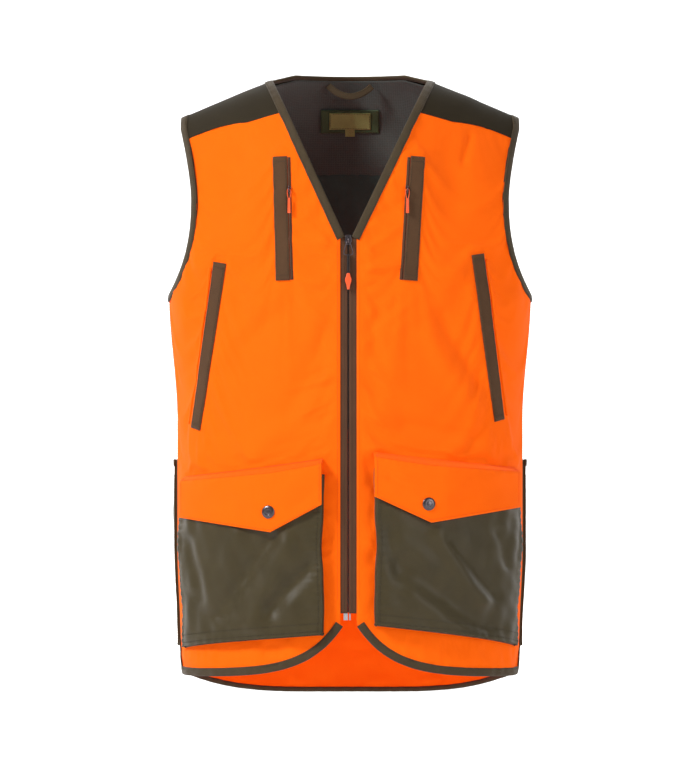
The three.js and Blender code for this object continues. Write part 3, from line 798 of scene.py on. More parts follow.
# %% Sweeping a section along an edge
def sweep(name, angle, h, section, side, material, folds=flat, wrap=False, pucker=0.2):
    """section is a closed list of (beside, lift); side is +1 or -1 for the cloth's side of the line."""
    base, n = surface(angle, h), normal(angle, h)
    along = np.roll(base, -1, 0) - np.roll(base, 1, 0) if wrap else np.gradient(base, axis=0)
    beside = unit(np.cross(n, along))
    section = np.array(section, float)
    length = run_along(base)
    puff = pucker * (np.sin(length / 3.1 + 2 * np.sin(length / 17)) + 0.7 * np.sin(length / 7.3 + 1))
    grid = np.empty((len(angle), len(section), 3))
    for k, (b, lift) in enumerate(section):
        swell = puff * (1 if lift > 0 else -1) * min(1, abs(b) / 4)
        across = base + beside * side * b
        grid[:, k] = across + folds.at(across) + n * (lift + swell)[:, None]
    obj = new_object(name, grid, tube_faces(len(angle), len(section), wrap))
    uv = np.stack(np.meshgrid(run_along(section) * MM, length * MM), -1).reshape(-1, 2)
    return dress(obj, material, uv)


# %% Section of a binding
# Pairs of (beside the edge, above the cloth), once round the folded tape.
BINDING = [(9, 1.0), (8.9, 1.9), (8, 2.3), (5, 2.45), (2, 2.3), (0.2, 1.9), (-0.8, 1.2), (-1.1, 0.3),
           (-0.8, -0.7), (0.2, -1.2), (4, -1.5), (8, -1.3), (8.6, -0.9), (8.5, -0.4), (4, -0.35),
           (0.6, 0.2), (4, 1.15)]
NARROW = [(b * 0.62, lift) for b, lift in BINDING]


def resample(angle, h, spacing=3.0):
    """Even steps along a line on the surface."""
    angle, h = np.asarray(angle, float), np.asarray(h, float)
    run = run_along(surface(angle, h))
    count = max(4, int(run[-1] / spacing))
    at = np.linspace(0, run[-1], count + 1)
    return np.interp(at, run, angle), np.interp(at, run, h)


# %% Neck, armhole and hem bindings
bindings = {}
x = NECK_REACH * np.sin(np.linspace(math.pi / 2, -math.pi / 2, 240))
bindings["neck"] = resample(math.pi - np.arcsin(x / half_width(neckline(x))), neckline(x))
neck_piece = sweep("neck_binding_tape", *bindings["neck"], BINDING, -1, BIND)
declare(neck_piece, "trim_tape", "neck_binding", body="shell")

for name, sign in SIDES.items():
    t = np.linspace(0, 1, 80)
    rise = mix(V_POINT - 1, NECK_H + 1.3, 1 - (1 - t) ** 1.5)
    x = neck_edge(sign, rise)
    rise = np.minimum(rise, ridge(x))
    angle, h = resample(np.arcsin(x / half_width(rise)), rise)
    piece = sweep(f"v_binding_tape_{name}", angle, h, BINDING, -sign, BIND, front_folds[name])
    declare(piece, "trim_tape", f"v_binding_{name}", body="shell")
    bindings[f"v_{name}"] = (angle, h)

    rise = ARMPIT_H + 211.1 * (1 - np.cos(np.linspace(0, math.pi, 240))) / 2
    front_half = np.arcsin(np.clip(armhole(rise) / half_width(rise), -1, 0.9999))
    back_half = math.pi - np.arcsin(np.clip(back_armhole(rise) / half_width(rise), -1, 0.9999))
    front_run = resample(sign * front_half, rise)
    back_run = resample(sign * back_half[::-1], rise[::-1])
    angle, h = (np.concatenate([a, b]) for a, b in zip(front_run, back_run))
    piece = sweep(f"armhole_tape_{name}", angle, h, BINDING, sign, BIND, wrap=True)
    bindings[f"armhole_{name}"] = (angle, h)
    declare(piece, "trim_tape", f"armhole_binding_{name}", body="shell")

    t = np.linspace(0, 1, 160)
    hem_angle = sign * mix(math.radians(2.6), SIDE_ANGLE, t ** 1.4)
    hem_h = front_hem(WAIST_W * np.sin(hem_angle)) - 0.5
    vent_angle, vent_h = np.full(12, sign * SIDE_ANGLE), np.linspace(30, 68, 12)
    angle, h = resample(np.concatenate([hem_angle, vent_angle]), np.concatenate([hem_h, vent_h]))
    piece = sweep(f"front_hem_tape_{name}", angle, h, BINDING, sign, BIND, front_folds[name])
    declare(piece, "trim_tape", f"front_hem_binding_{name}", body=f"front_{name}")

hem_angle = np.linspace(math.radians(91), math.radians(269), 200)
angle, h = resample(hem_angle, back_hem(hem_angle))
piece = sweep("back_hem_tape", angle, h, NARROW, 1, BIND, back_folds, pucker=0.35)
declare(piece, "trim_tape", "back_hem_binding", body="shell")
print("binding lines:", sorted(bindings))


# %% [markdown]
# ## Thread
# Seams show as rows of short stitches that catch the light.  A dashed texture would vanish from
# the side, so a row is a line of small rounded dashes of mesh, laid end to end on the cloth.

# %% Stitch rows
def stitch_row(name, points, lifts, material, pitch=3.2, dash=2.4, radius=0.26):
    """points and lifts (unit outward directions) are arrays in millimetres along the seam."""
    run = run_along(points)
    starts = np.arange(1, run[-1] - dash, pitch)
    at = lambda s: np.stack([np.interp(s, run, points[:, k]) for k in range(3)], -1)
    n = np.stack([np.interp(starts, run, lifts[:, k]) for k in range(3)], -1)
    a, b = at(starts), at(starts + dash)
    along = unit(b - a)
    beside = unit(np.cross(n, along))
    out = np.cross(along, beside)
    rings = [a - out * 0.1]
    for share in (0.14, 0.5, 0.86):
        middle = a + (b - a) * share + out * (0.12 if share == 0.5 else 0.05)
        for turn in range(5):
            theta = turn * 2 * math.pi / 5
            rings.append(middle + radius * (beside * math.cos(theta) + out * math.sin(theta)))
    rings.append(b - out * 0.1)
    points = np.stack(rings, 1)
    per = points.shape[1]
    one = [(0, 1 + (t + 1) % 5, 1 + t) for t in range(5)]
    for ring in (0, 1):
        s = 1 + 5 * ring
        one += [(s + t, s + (t + 1) % 5, s + 5 + (t + 1) % 5) for t in range(5)]
        one += [(s + t, s + 5 + (t + 1) % 5, s + 5 + t) for t in range(5)]
    one += [(11 + t, 11 + (t + 1) % 5, per - 1) for t in range(5)]
    faces = (np.array(one)[None] + (np.arange(len(points)) * per)[:, None, None]).reshape(-1, 3)
    flat_points = points.reshape(-1, 3) * MM
    uv = flat_points[:, [0, 2]] + flat_points[:, [1, 1]]
    return dress(new_object(name, points, faces), material, uv)


# %% Seam lines
def seam_path(angle, h, beside, side, lift, folds=flat):
    """Points and outward directions beside a line on the torso."""
    base, n = surface(angle, h), normal(angle, h)
    across = unit(np.cross(n, np.gradient(base, axis=0)))
    return base + folds.at(base) + across * side * beside + n * lift, n


def join_pieces(name, pieces):
    bpy.ops.object.select_all(action="DESELECT")
    for piece in pieces:
        piece.select_set(True)
    bpy.context.view_layer.objects.active = pieces[0]
    bpy.ops.object.join()
    pieces[0].name = name
    return pieces[0]


def stitched(name, rows, slot, material, body=None, blend=None):
    parts = [stitch_row(f"{name}_{i}", points, n, material) for i, (points, n) in enumerate(rows)]
    piece = join_pieces(name, parts)
    declare(piece, slot, body=body, blend=blend)
    print(name, len(piece.data.polygons), "faces")
    return piece


# %% Stitches along the edges
for name, sign in SIDES.items():
    hem_a = sign * mix(math.radians(3), SIDE_ANGLE - 0.03, np.linspace(0, 1, 200) ** 1.4)
    hem_a, hem_h = resample(hem_a, front_hem(WAIST_W * np.sin(hem_a)) - 0.5)
    zip_h = np.linspace(118, V_POINT - 2, 120)
    zip_a = front(ZIP_X + sign * 12.6, zip_h)
    upper_rows = [
        seam_path(*bindings[f"v_{name}"], 7.2, -sign, 2.5, front_folds[name]),
        seam_path(*bindings[f"armhole_{name}"], 7.4, sign, 2.5),
    ]
    hem_rows = [seam_path(hem_a, hem_h, 7.2, sign, 2.5, front_folds[name])]
    zip_rows = [seam_path(zip_a, zip_h, 0, 1, 1.0, front_folds[name])]
    stitched(f"neck_and_armhole_stitches_{name}", upper_rows, "trim_tape", THREAD_D, body="shell")
    stitched(f"hem_stitches_{name}", hem_rows, "trim_tape", THREAD_D, body=f"front_{name}")
    stitched(f"zip_edge_stitches_{name}", zip_rows, "orange_cloth", THREAD_O, blend=name)

# %% Stitches down the sides and across the back
side_h = np.linspace(70, ARMPIT_H - 4, 60)
rows = [seam_path(0 * side_h + sign * math.radians(90.12 + beside), side_h, 0, 1, 0.9, back_folds)
        for sign in (-1, 1) for beside in (0.6, 2.2)]
stitched("side_seam_stitches", rows, "orange_cloth", THREAD_O, body="shell")
back_seam_x = np.linspace(186, -186, 160)
back_seam_a = math.pi - np.arcsin(back_seam_x / ARMPIT_W)
rows = [seam_path(*bindings["neck"], 7.2, -1, 2.5),
        seam_path(back_seam_a, 0 * back_seam_x + SEAM_BACK + 2, 0, 1, 1.6, back_folds)]
stitched("back_stitches", rows, "trim_tape", THREAD_D, body="shell")

# %% [markdown]
# ## Welts
# A welt is a narrow folded strip sewn flat over a pocket mouth, stitched all round.
# It could be a flat ribbon, but the doubled edges are what the eye reads, so its section has them.
# The same sweep that made the bindings lays it on the folds.

# %% Lines and sections
def welt_section(half, top=2.9):
    return [(-half, 0.9), (-half - 0.3, 1.7), (-half + 0.5, top - 0.4), (-half + 2.2, top), (0, top - 0.3),
            (half - 2.2, top), (half - 0.5, top - 0.4), (half + 0.3, 1.7), (half, 0.9), (0, 1.0)]


def straight_run(sign, ends, trim=0.0, shift=0.0):
    (x0, h0), (x1, h1) = ends
    t = np.linspace(trim, 1 - trim, 50)
    h = mix(h0, h1, t)
    return resample(front(sign * (mix(x0, x1, t) + shift), h), h)


def end_row(angle, h, at, half, folds):
    """A short row of stitches straight across a welt's end."""
    base, n = surface(angle[at], h[at]), normal(angle[at], h[at])
    along = surface(angle[at + 1], h[at + 1]) - surface(angle[at - 1], h[at - 1])
    span = np.linspace(-half + 1.5, half - 1.5, 8)[:, None]
    line = base + folds.at(base[None])[0] + unit(np.cross(n, along)) * span + n * 2.85
    return line, np.repeat(n[None], 8, 0)


# %% Welts, pocket lips and chest zips
HAND_LIP = [(-1.6, 0.8), (-1.7, 1.9), (-0.9, 2.5), (0.3, 2.6), (1.4, 2.0), (1.9, 0.9)]
CHEST_ZIP = [(-1.9, 0.8), (-1.9, 1.3), (-0.5, 1.4), (-0.35, 1.9), (0.35, 1.9), (0.5, 1.4), (1.9, 1.3),
             (1.9, 0.8)]
for name, sign in SIDES.items():
    folds = front_folds[name]
    for kind, half in (("chest", 8.4), ("hand", 8.2)):
        ends = WELTS[name][kind]
        angle, h = straight_run(sign, ends)
        where = dict(body="shell") if kind == "chest" else dict(blend=name)
        section = welt_section(half)
        piece = sweep(f"{kind}_welt_strip_{name}", angle, h, section, sign, TRIM, folds, pucker=0.12)
        declare(piece, "trim_tape", f"{kind}_welt_{name}", **where)
        inner_line = straight_run(sign, ends, trim=0.01)
        rows = [seam_path(*inner_line, b, 1, 2.9, folds) for b in (-half + 1.8, half - 1.8)]
        rows += [end_row(angle, h, at, half, folds) for at in (2, -3)]
        stitched(f"{kind}_welt_stitches_{name}", rows, "trim_tape", THREAD_D, **where)
    # The pocket mouth shows as a rolled orange lip beside the hand welt.
    angle, h = straight_run(sign, WELTS[name]["hand"], trim=0.03, shift=9.8)
    piece = sweep(f"hand_lip_{name}", angle, h, HAND_LIP, sign, ORANGE, folds)
    declare(piece, "orange_cloth", blend=name)
    # The chest zip lies beside the welt's inner edge.
    angle, h = straight_run(sign, WELTS[name]["chest"], trim=0.005, shift=-10.4)
    piece = sweep(f"chest_zip_tape_{name}", angle, h, CHEST_ZIP, sign, ZIP_TAPE, folds, pucker=0)
    declare(piece, "zip_tape", f"chest_zip_{name}", body="shell")

# %% [markdown]
# ## The main zip
# A reverse coil zip shows only its two tapes outside, and its coils lie on the inner face.
# Separate teeth could be copied along the tape, but this zip has one bent filament on each side,
# so each coil is one spiral tube, and the two are half a turn apart, so that they interlock.

# %% Coil filament
COIL = hard("coil_plastic", (0.05, 0.04, 0.035), 0.4, 0.0)


def coil(name, x_at, low, high, sign, turn=1.5):
    """One continuous spiral of filament along the tape's inner edge."""
    heights = np.arange(low, high, turn / 9)
    phase = ((heights - low) / turn + (0.5 if sign > 0 else 0)) * 2 * math.pi
    x, y = x_at + sign * (1.25 + 1.85 * np.cos(phase)), -FRONT_D + 3.0 + 0.85 * np.sin(phase)
    middle = np.stack([x, y, heights - HEIGHT], -1)
    along = unit(np.gradient(middle, axis=0))
    side = unit(np.cross(along, [0, 0, 1.0]))
    up = np.cross(side, along)
    quarters = np.linspace(0, 2 * math.pi, 5)[:-1]
    grid = np.stack([middle + 0.3 * (side * math.cos(t) + up * math.sin(t)) for t in quarters], 1)
    return dress(new_object(name, grid, tube_faces(*grid.shape[:2])), COIL)


# %% Tapes, coils and their stitches
MAIN_TAPE = [(0, -1.7), (-0.25, -1.2), (0, -0.7), (1.2, -0.35), (2.6, -0.55), (8, -0.6), (12.7, -0.7),
             (12.7, -1.5), (6, -1.5)]
for name, sign in SIDES.items():
    heights = np.linspace(ZIP_LOW - 1, V_POINT - 1, 150)
    angle = front(ZIP_X + sign * 1.3, heights)
    piece = sweep(f"zip_tape_{name}", angle, heights, MAIN_TAPE, -sign, ZIP_TAPE, pucker=0)
    declare(piece, "zip_tape", f"zip_upper_{name}", f"zip_lower_{name}", blend=name)
    piece = coil(f"zip_coil_{name}", ZIP_X, ZIP_LOW, V_POINT - 3, sign)
    declare(piece, "zip_tape", blend=name)
    rows = [seam_path(front(ZIP_X + sign * 4.4, heights), heights, 0, 1, -0.5)]
    stitched(f"zip_tape_stitches_{name}", rows, "zip_tape", THREAD_D, blend=name)

# %% [markdown]
# ## Cargo pockets
# A cargo pocket stands off the front on folded bellows walls, so that it can swell when filled.
# A box with rounded corners would look stiff.  This pocket is one cloth: a face with soft slanting
# folds, and walls that fold inward and turn down to the front.

# %% Creases of the pockets
POCKET_FOLDS = {
    "right": [((98, 190, 160, 100), 10, -2.6), ((76, 182, 122, 90), 15, 2.2),
              ((44, 162, 96, 108), 10, -2.8), ((140, 192, 172, 118), 12, 1.4),
              ((195, 185, 178, 118), 7, -1.6), ((188, 120, 172, 82), 8, -1.3)],
    "left": [((108, 196, 160, 116), 11, 2.6), ((62, 162, 168, 84), 13, -3.0),
             ((122, 186, 174, 124), 8, -1.8), ((78, 122, 132, 78), 12, 1.5),
             ((180, 196, 190, 158), 6, -1.4), ((46, 196, 60, 150), 9, -1.2)],
}
POCKET_EDGE = math.radians(75.5)


def pocket_lift(u):
    return 6 + 8 * np.minimum(1, 2 * u)


def grid_normals(grid, facing):
    """Outward directions of a grid; facing is -1 for the front and +1 for the back."""
    n = np.cross(np.gradient(grid, axis=1), np.gradient(grid, axis=0))
    n = n / (np.linalg.norm(n, axis=-1, keepdims=True) + 1e-9)
    return n if n[n.shape[0] // 2, n.shape[1] // 2, 1] * facing > 0 else -n


def wall_profile(d):
    """How far a bellows wall stands in from its seam, in millimetres, and how much of its height is left."""
    inset = np.interp(d, [0, 0.25, 0.5, 0.75, 1], [1.2, 1.5, 3.4, 3.2, 0.6])
    return inset, 1 - np.interp(d, [0, 0.15, 1], [0, 0.12, 1])


def walled(columns, rows, wall):
    """A face from 0 to 1 each way with walls at both sides and below, and how far down each wall."""
    down = np.linspace(1, 1 / wall, wall)
    u = np.concatenate([np.zeros(wall), np.linspace(0, 1, columns), np.ones(wall)])[None, :]
    du = np.concatenate([down, np.zeros(columns), down[::-1]])[None, :]
    v = np.concatenate([np.zeros(wall), np.linspace(0, 1, rows)])[:, None]
    dv = np.concatenate([down, np.zeros(rows)])[:, None]
    return u, du, v, dv


# %% Shape of a cargo pocket
def near_snap(flap, x, h, reach):
    """0 at the snap and 1 away from it, so that nothing folds under the metal."""
    return 1 - np.exp(-((x - flap["snap"][0]) ** 2 + (h - flap["snap"][1]) ** 2) / reach ** 2)


def pocket_grid(name, wall):
    sign, flap = SIDES[name], FLAPS[name]
    u, du, v, dv = walled(96, 84, wall)
    inner_edge = front(sign * flap["pocket_inner"], 200, 14)
    inset_u, inset_v = wall_profile(du)[0], wall_profile(dv)[0]
    left = wall_profile(np.maximum(du, dv))[1]
    step = inset_u / ARMPIT_W * sign
    angle = mix(sign * POCKET_EDGE - step, inner_edge + step, u) + 0 * v
    low = mix(flap["pocket_outer_low"], flap["pocket_inner_low"], u) + inset_v
    high = mix(flap["outer_top"], flap["inner_top"], u) - 18
    h = mix(low, high, v)
    reach = mix(1.5, pocket_lift(u), left)
    x = sign * (half_width(h) + reach) * np.sin(angle)
    folds = sum(crease(x, h, *fold) for fold in POCKET_FOLDS[name]) + 0.5 * waves(angle, h, 41 + sign, 30)
    edge_x, edge_h = np.minimum(u, 1 - u) * 150, v * 150
    calm = np.clip(np.minimum(edge_x, edge_h) / 9, 0, 1)
    still = near_snap(flap, x, h, 15)
    pull = np.sin(h / 1.45 + 1.5 * np.sin(h / 11)) * np.exp(-edge_x / 6) * 0.55
    pull = pull + np.sin(x / 1.6 + np.sin(x / 13)) * np.exp(-edge_h / 6) * 0.4
    slack = 1 - 0.18 * np.sin(np.clip(v, 0, 1) * math.pi) * np.sin(u * math.pi) ** 2
    on_face = np.clip(left * 1.5 - 0.5, 0, 1)
    lift = reach * np.where(left > 0.99, slack, 1) + (1.9 * folds * calm + pull) * still * on_face
    lift = np.where(left > 0.99, mix(reach, lift, still), lift)
    sideways = np.sin(h / 23) * 1.3 + np.sin(h / 9) * 0.5
    sway = sign * np.stack([sideways, 0 * h, 0 * h], -1) * np.exp(-edge_x / 10)[..., None]
    sway = sway * (v > 0)[..., None] * np.minimum(v * 4, 1)[..., None]
    return standing(angle, h, lift, front_folds[name]) + sway


# %% Cargo pockets
def row_of(grid, normals, kind, at, trim=0, lift=0.15):
    """A seam along one row or column of a grid of points."""
    if kind == "column":
        pick = (slice(trim, grid.shape[0] - trim or None), at)
    else:
        pick = (at, slice(trim, grid.shape[1] - trim or None))
    return grid[pick] + normals[pick] * lift, normals[pick]


WALL = 7
for name in SIDES:
    outer = pocket_grid(name, WALL)
    normals = grid_normals(outer, -1)
    pocket = closed_cloth(f"cargo_pocket_cloth_{name}", outer, outer - normals * 1.05, OLIVE)
    declare(pocket, "olive_cloth", f"cargo_pocket_{name}", body=f"front_{name}")
    declare_sheet(pocket)
    rows = [row_of(outer, normals, kind, at, WALL) for kind, at in (
        ("column", WALL + 2), ("column", -WALL - 3), ("row", WALL + 2), ("row", WALL + 6))]
    stitched(f"pocket_stitches_{name}", rows, "olive_cloth", THREAD_D, body=f"front_{name}")

# %% [markdown]
# ## Flaps
# A flap leaves the front at its top seam, rolls over the pocket's edge and ends in a point.
# It could be cut from a rectangle with a boolean, but a rolled edge then breaks at the cut.
# The grid's last row runs along the pointed edge instead, with a column exactly at the point.

# %% Creases of the flaps
FLAP_FOLDS = {
    "right": [((60, 262, 92, 228), 9, 0.9), ((140, 248, 108, 226), 9, 0.9),
              ((150, 226, 185, 236), 12, -1.0), ((70, 226, 44, 246), 8, -0.8)],
    "left": [((58, 272, 90, 240), 9, 1.0), ((86, 247, 50, 262), 6, -1.2),
             ((130, 250, 104, 236), 9, 0.8), ((140, 236, 190, 246), 13, -1.1),
             ((120, 262, 170, 262), 9, 0.6)],
}


def flap_grid(name, columns=110, rows=56):
    sign, flap = SIDES[name], FLAPS[name]
    u = np.linspace(0, 1, columns)[None, :]
    v = np.linspace(0, 1, rows)[:, None]
    tip_u = (flap["outer"] - flap["tip_x"]) / (flap["outer"] - flap["inner"])
    u = u + 0 * v
    # Columns crowd towards the point so that it stays sharp.
    nearest = int(round(tip_u * (columns - 1)))
    u = np.where(np.arange(columns) <= nearest, u * tip_u / (nearest / (columns - 1)),
                 1 - (1 - u) * (1 - tip_u) / (1 - nearest / (columns - 1)))
    top = mix(flap["outer_top"], flap["inner_top"], u)
    edge = np.where(u < tip_u, mix(flap["outer_low"], flap["tip"], u / tip_u),
                    mix(flap["tip"], flap["inner_low"], (u - tip_u) / (1 - tip_u)))
    h = mix(top, edge, v)
    full = pocket_lift(u) + 4
    x = sign * mix(flap["outer"] - 0.4, flap["inner"] + 0.4, u)
    angle = front(x, h, full)
    rise = np.interp((top - h) / (top - edge) / 0.13, [0, 0.2, 0.55, 0.85, 1.15], [0, 0.1, 0.6, 0.93, 1])
    lift = mix(1.0, full, rise)
    folds = sum(crease(x * sign, h, *fold) for fold in FLAP_FOLDS[name])
    folds = folds + 0.35 * waves(angle, h, 51 + sign, 34)
    still = near_snap(flap, x * sign, h, 12)
    away = np.minimum(np.minimum(u, 1 - u) * 170, (h - edge))
    pucker = 0.3 * np.sin(x / 1.7 + np.sin(x / 9)) * np.exp(-((top - h) - 5) ** 2 / 30)
    lift = lift + (folds * np.clip(rise, 0, 1) * np.clip(0.35 + away / 10, 0, 1) + pucker) * still
    return standing(angle, h, lift, front_folds[name])


def flap_blend(piece):
    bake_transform(piece)


# %% Pointed flaps
for name in SIDES:
    outer = flap_grid(name)
    normals = grid_normals(outer, -1)
    top = outer + normals * 1.15
    flap_cloth = closed_cloth(f"cargo_flap_cloth_{name}", top, outer, ORANGE, round_edge=0.6)
    declare(flap_cloth, "orange_cloth", f"cargo_flap_{name}")
    declare_sheet(flap_cloth)
    flap_blend(flap_cloth)
    rows = [row_of(top, normals, kind, at, trim) for kind, at, trim in (
        ("row", 1, 2), ("row", 6, 2), ("row", -3, 3), ("column", 2, 3), ("column", -3, 3))]
    threads = stitched(f"flap_stitches_{name}", rows, "orange_cloth", THREAD_O)
    flap_blend(threads)

# %% [markdown]
# ## Pocket bags
# Behind each zipped or slanted mouth hangs a thin bag.  A flat card would cut through the folds of
# the front, so the bags are drawn on the same surface, a little inside it, and follow its folds.

# %% Chest and hand bags
BAGS = {"chest": (48, 132, 500, 640), "hand": (70, 184, 304, 462)}
for name, sign in SIDES.items():
    for kind, (x0, x1, h0, h1) in BAGS.items():
        u = np.linspace(0, 1, 34)[None, :]
        v = np.linspace(0, 1, 46)[:, None]
        h = mix(h0, h1, v) + 0 * u
        angle = front(sign * mix(x0, x1, u), h)
        rim = np.sin(u * math.pi) * np.sin(v * math.pi)
        slack = 1.3 * rim * (1 + waves(angle, h, 61 + sign, 34))
        piece = sheet_piece(f"{kind}_bag_cloth_{name}", angle, h, -2.9 - slack, -2.3 - slack, LINING,
                            front_folds[name])
        where = dict(body="shell") if kind == "chest" else dict(blend=name)
        declare(piece, "lining_mesh", f"{kind}_bag_{name}", **where)
        declare_sheet(piece)

# %% [markdown]
# ## Game pocket
# A wide pouch lies across the back, open along its gathered top edge, with a dark tape round it.
# It is the cargo pocket's idea over again, wider and lower, so it shares the same walls.

# %% Shape of the back pouch
def game_grid(wall):
    u, du, v, dv = walled(150, 90, wall)
    inset = wall_profile(du)[0] / ARMPIT_W
    left = wall_profile(np.maximum(du, dv))[1]
    angle = mix(math.radians(93.5) + inset, math.radians(266.5) - inset, u) + 0 * v
    h = mix(58 + wall_profile(dv)[0], 282 - 4 * np.sin(u * math.pi), v)
    full = 5 + 9 * np.sin(math.pi * np.clip(u, 0.001, 0.999)) ** 0.6
    edge_x = np.minimum(u, 1 - u) * 560
    calm = np.clip(np.minimum(edge_x, v * 224) / 14, 0, 1)
    folds = 1.6 * waves(angle, h, 71, 95, lean=1.2) + 0.6 * waves(angle, h, 72, 32)
    gather = 0.7 * np.sin(angle * 165 / 2.1 + np.sin(angle * 14)) * np.exp(-(1 - v) * 224 / 7)
    pull = 0.5 * np.sin(angle * 165 / 1.7 + np.sin(angle * 11)) * np.exp(-v * 224 / 6)
    lift = mix(1.5, full, left) + (folds * calm * 0.9 + gather + pull) * np.clip(left * 1.5 - 0.5, 0, 1)
    return standing(angle, h, lift, back_folds, fade=11, least=1.4)


# %% Flat tapes through space
TAPE_SECTION = [(-0.5, -0.35), (-0.5, 0.35), (-0.35, 0.5), (0.35, 0.5),
                (0.5, 0.35), (0.5, -0.35), (0.35, -0.5), (-0.35, -0.5)]


def tube_tape(name, line, normals, width, thick, material):
    """A flat folded tape following a line of points, with its faces square to the given directions."""
    across = unit(np.cross(normals, unit(np.gradient(line, axis=0))))
    grid = np.stack([line + across * a * width + normals * b * thick for a, b in TAPE_SECTION], 1)
    obj = new_object(name, grid, tube_faces(*grid.shape[:2]))
    around = np.linspace(0, 2 * (width + thick), len(TAPE_SECTION))
    uv = np.stack(np.meshgrid(around, run_along(line)), -1).reshape(-1, 2) * MM
    return dress(obj, material, uv)


# %% Back pouch, its tape and stitches
POUCH_WALL = 6
outer = game_grid(POUCH_WALL)
normals = grid_normals(outer, 1)
pouch = closed_cloth("game_pocket_cloth", outer, outer - normals * 1.05, OLIVE)
declare(pouch, "olive_cloth", "game_pocket", body="shell")
declare_sheet(pouch)
top_normals = normals[-1, POUCH_WALL:-POUCH_WALL]
top_line = outer[-1, POUCH_WALL:-POUCH_WALL] - top_normals * 0.5
top_line = top_line - np.array([0, 0, 3.2])
pouch_tape = tube_tape("game_pocket_tape", top_line, top_normals, 8.4, 2.7, BIND)
declare(pouch_tape, "trim_tape", body="shell")
rows = [row_of(outer, normals, kind, at, POUCH_WALL) for kind, at in (
    ("column", POUCH_WALL + 2), ("column", -POUCH_WALL - 3), ("row", POUCH_WALL + 2))]
rows.append((top_line - np.array([0, 0, 3.0]) + top_normals * 1.45, top_normals))
stitched("game_pocket_stitches", rows, "olive_cloth", THREAD_D, body="shell")

# %% [markdown]
# ## Label and hanging loop
# The label is blank: a woven patch, a satin plate and a small tab below it, all inside the neck.
# They are thin sheets on the back's own surface, stacked inward, with edges that lift a little.

# %% Label and tab
def label_sheet(name, width, h0, h1, low, high, material):
    u = np.linspace(-1, 1, 40)[None, :]
    v = np.linspace(0, 1, 20)[:, None]
    h = mix(h0, h1, v) + 0 * u
    angle = back(u * width / 2, h)
    lift = 0.12 * np.sin(u * 9) * np.exp(-np.minimum(v, 1 - v) * 6)
    return sheet_piece(name, angle, h, low + lift, high + lift, material)


for title, node, spec in (
        ("label_patch_cloth", "label_patch", (73, 679, 708, -5.8, -5.0, LABEL_BASE)),
        ("label_plate_cloth", "label_plate", (52, 684, 705, -7.0, -6.2, LABEL)),
        ("size_tab_cloth", "size_tab", (12, 674.8, 686, -6.2, -5.9, LABEL))):
    piece = label_sheet(title, *spec)
    declare(piece, "label_leather", node, body="shell")
    declare_sheet(piece)
rows = []
for width, h0, h1, lift in ((70.5, 680.3, 706.7, -5.9), (49.5, 685.2, 703.8, -7.1)):
    corners = [(-1, h0), (1, h0), (1, h1), (-1, h1), (-1, h0)]
    for (a, ha), (b, hb) in zip(corners[:-1], corners[1:]):
        t = np.linspace(0, 1, 24)
        angle, h = back(mix(a, b, t) * width / 2, mix(ha, hb, t)), mix(ha, hb, t)
        rows.append((surface(angle, h) + normal(angle, h) * lift, -normal(angle, h)))
stitched("label_stitches", rows, "label_leather", THREAD_D, body="shell")

# %% Hanging loop
# A short tape hangs in a curve from two points of the neck seam.
t = np.linspace(0, 1, 40)[:, None]
loop_points = ((-26.5, 734), (0, 708), (26.5, 733))
start, middle, end = (np.array([x, 0.0, h - HEIGHT]) for x, h in loop_points)
line = start * (1 - t) ** 2 + 2 * middle * t * (1 - t) + end * t ** 2
line[:, 1] = surface(math.pi, 742.0)[1] - 5.6 - 1.3 * np.sin(t[:, 0] * math.pi)
forward = np.repeat([[0, -1.0, 0]], 40, 0)
loop = tube_tape("hang_loop_tape", line, forward, 8.0, 1.3, BIND)
declare(loop, "trim_tape", "hang_loop", body="shell")
rows = [(line + np.array([0, -0.75, off]), forward) for off in (3.0, -3.0)]
stitched("hang_loop_stitches", rows, "trim_tape", THREAD_D, body="shell")

# %% [markdown]
# ## Hard pieces
# Snaps, sliders, pulls and the zip's end box start from plain shapes and are cut, inset and rounded.
# Each is modelled round its own seat, with Z pointing away from the cloth, then moved into place.

# %% Tools for hard pieces
def add_solid(kind, **settings):
    bpy.ops.object.select_all(action="DESELECT")
    getattr(bpy.ops.mesh, f"primitive_{kind}_add")(**settings)
    return bpy.context.object


def pick(obj, test, mode="FACE"):
    """Edit mode with only the faces (or vertices) that pass the test selected."""
    bpy.ops.object.mode_set(mode="EDIT")
    bpy.ops.mesh.select_mode(type=mode)
    bpy.ops.mesh.select_all(action="DESELECT")
    bpy.ops.object.mode_set(mode="OBJECT")
    for item in obj.data.polygons if mode == "FACE" else obj.data.vertices:
        item.select = bool(test(item.center if mode == "FACE" else item.co, getattr(item, "normal", None)))
    bpy.ops.object.mode_set(mode="EDIT")


def disc(radius, thick, z, y=0.0, vertices=32):
    obj = add_solid("cylinder", vertices=vertices, radius=radius * MM, depth=thick * MM,
                    location=(0, y * MM, z * MM))
    bpy.ops.object.transform_apply(location=True, rotation=True, scale=True)
    return obj


# %% Rounding, bricks and wires
def round_off(obj, width, segments=3, angle=35):
    bpy.ops.object.mode_set(mode="OBJECT")
    bevel = obj.modifiers.new("bevel", "BEVEL")
    bevel.width, bevel.segments = width * MM, segments
    bevel.limit_method = "ANGLE"
    bevel.angle_limit = math.radians(angle)
    bpy.context.view_layer.objects.active = obj
    bpy.ops.object.modifier_apply(modifier="bevel")


def brick(width, tall, low, high, y=0.0, x=0.0):
    obj = add_solid("cube", size=1)
    obj.scale = (width * MM, tall * MM, (high - low) * MM)
    obj.location = (x * MM, y * MM, (low + high) / 2 * MM)
    bpy.ops.object.transform_apply(location=True, rotation=True, scale=True)
    return obj


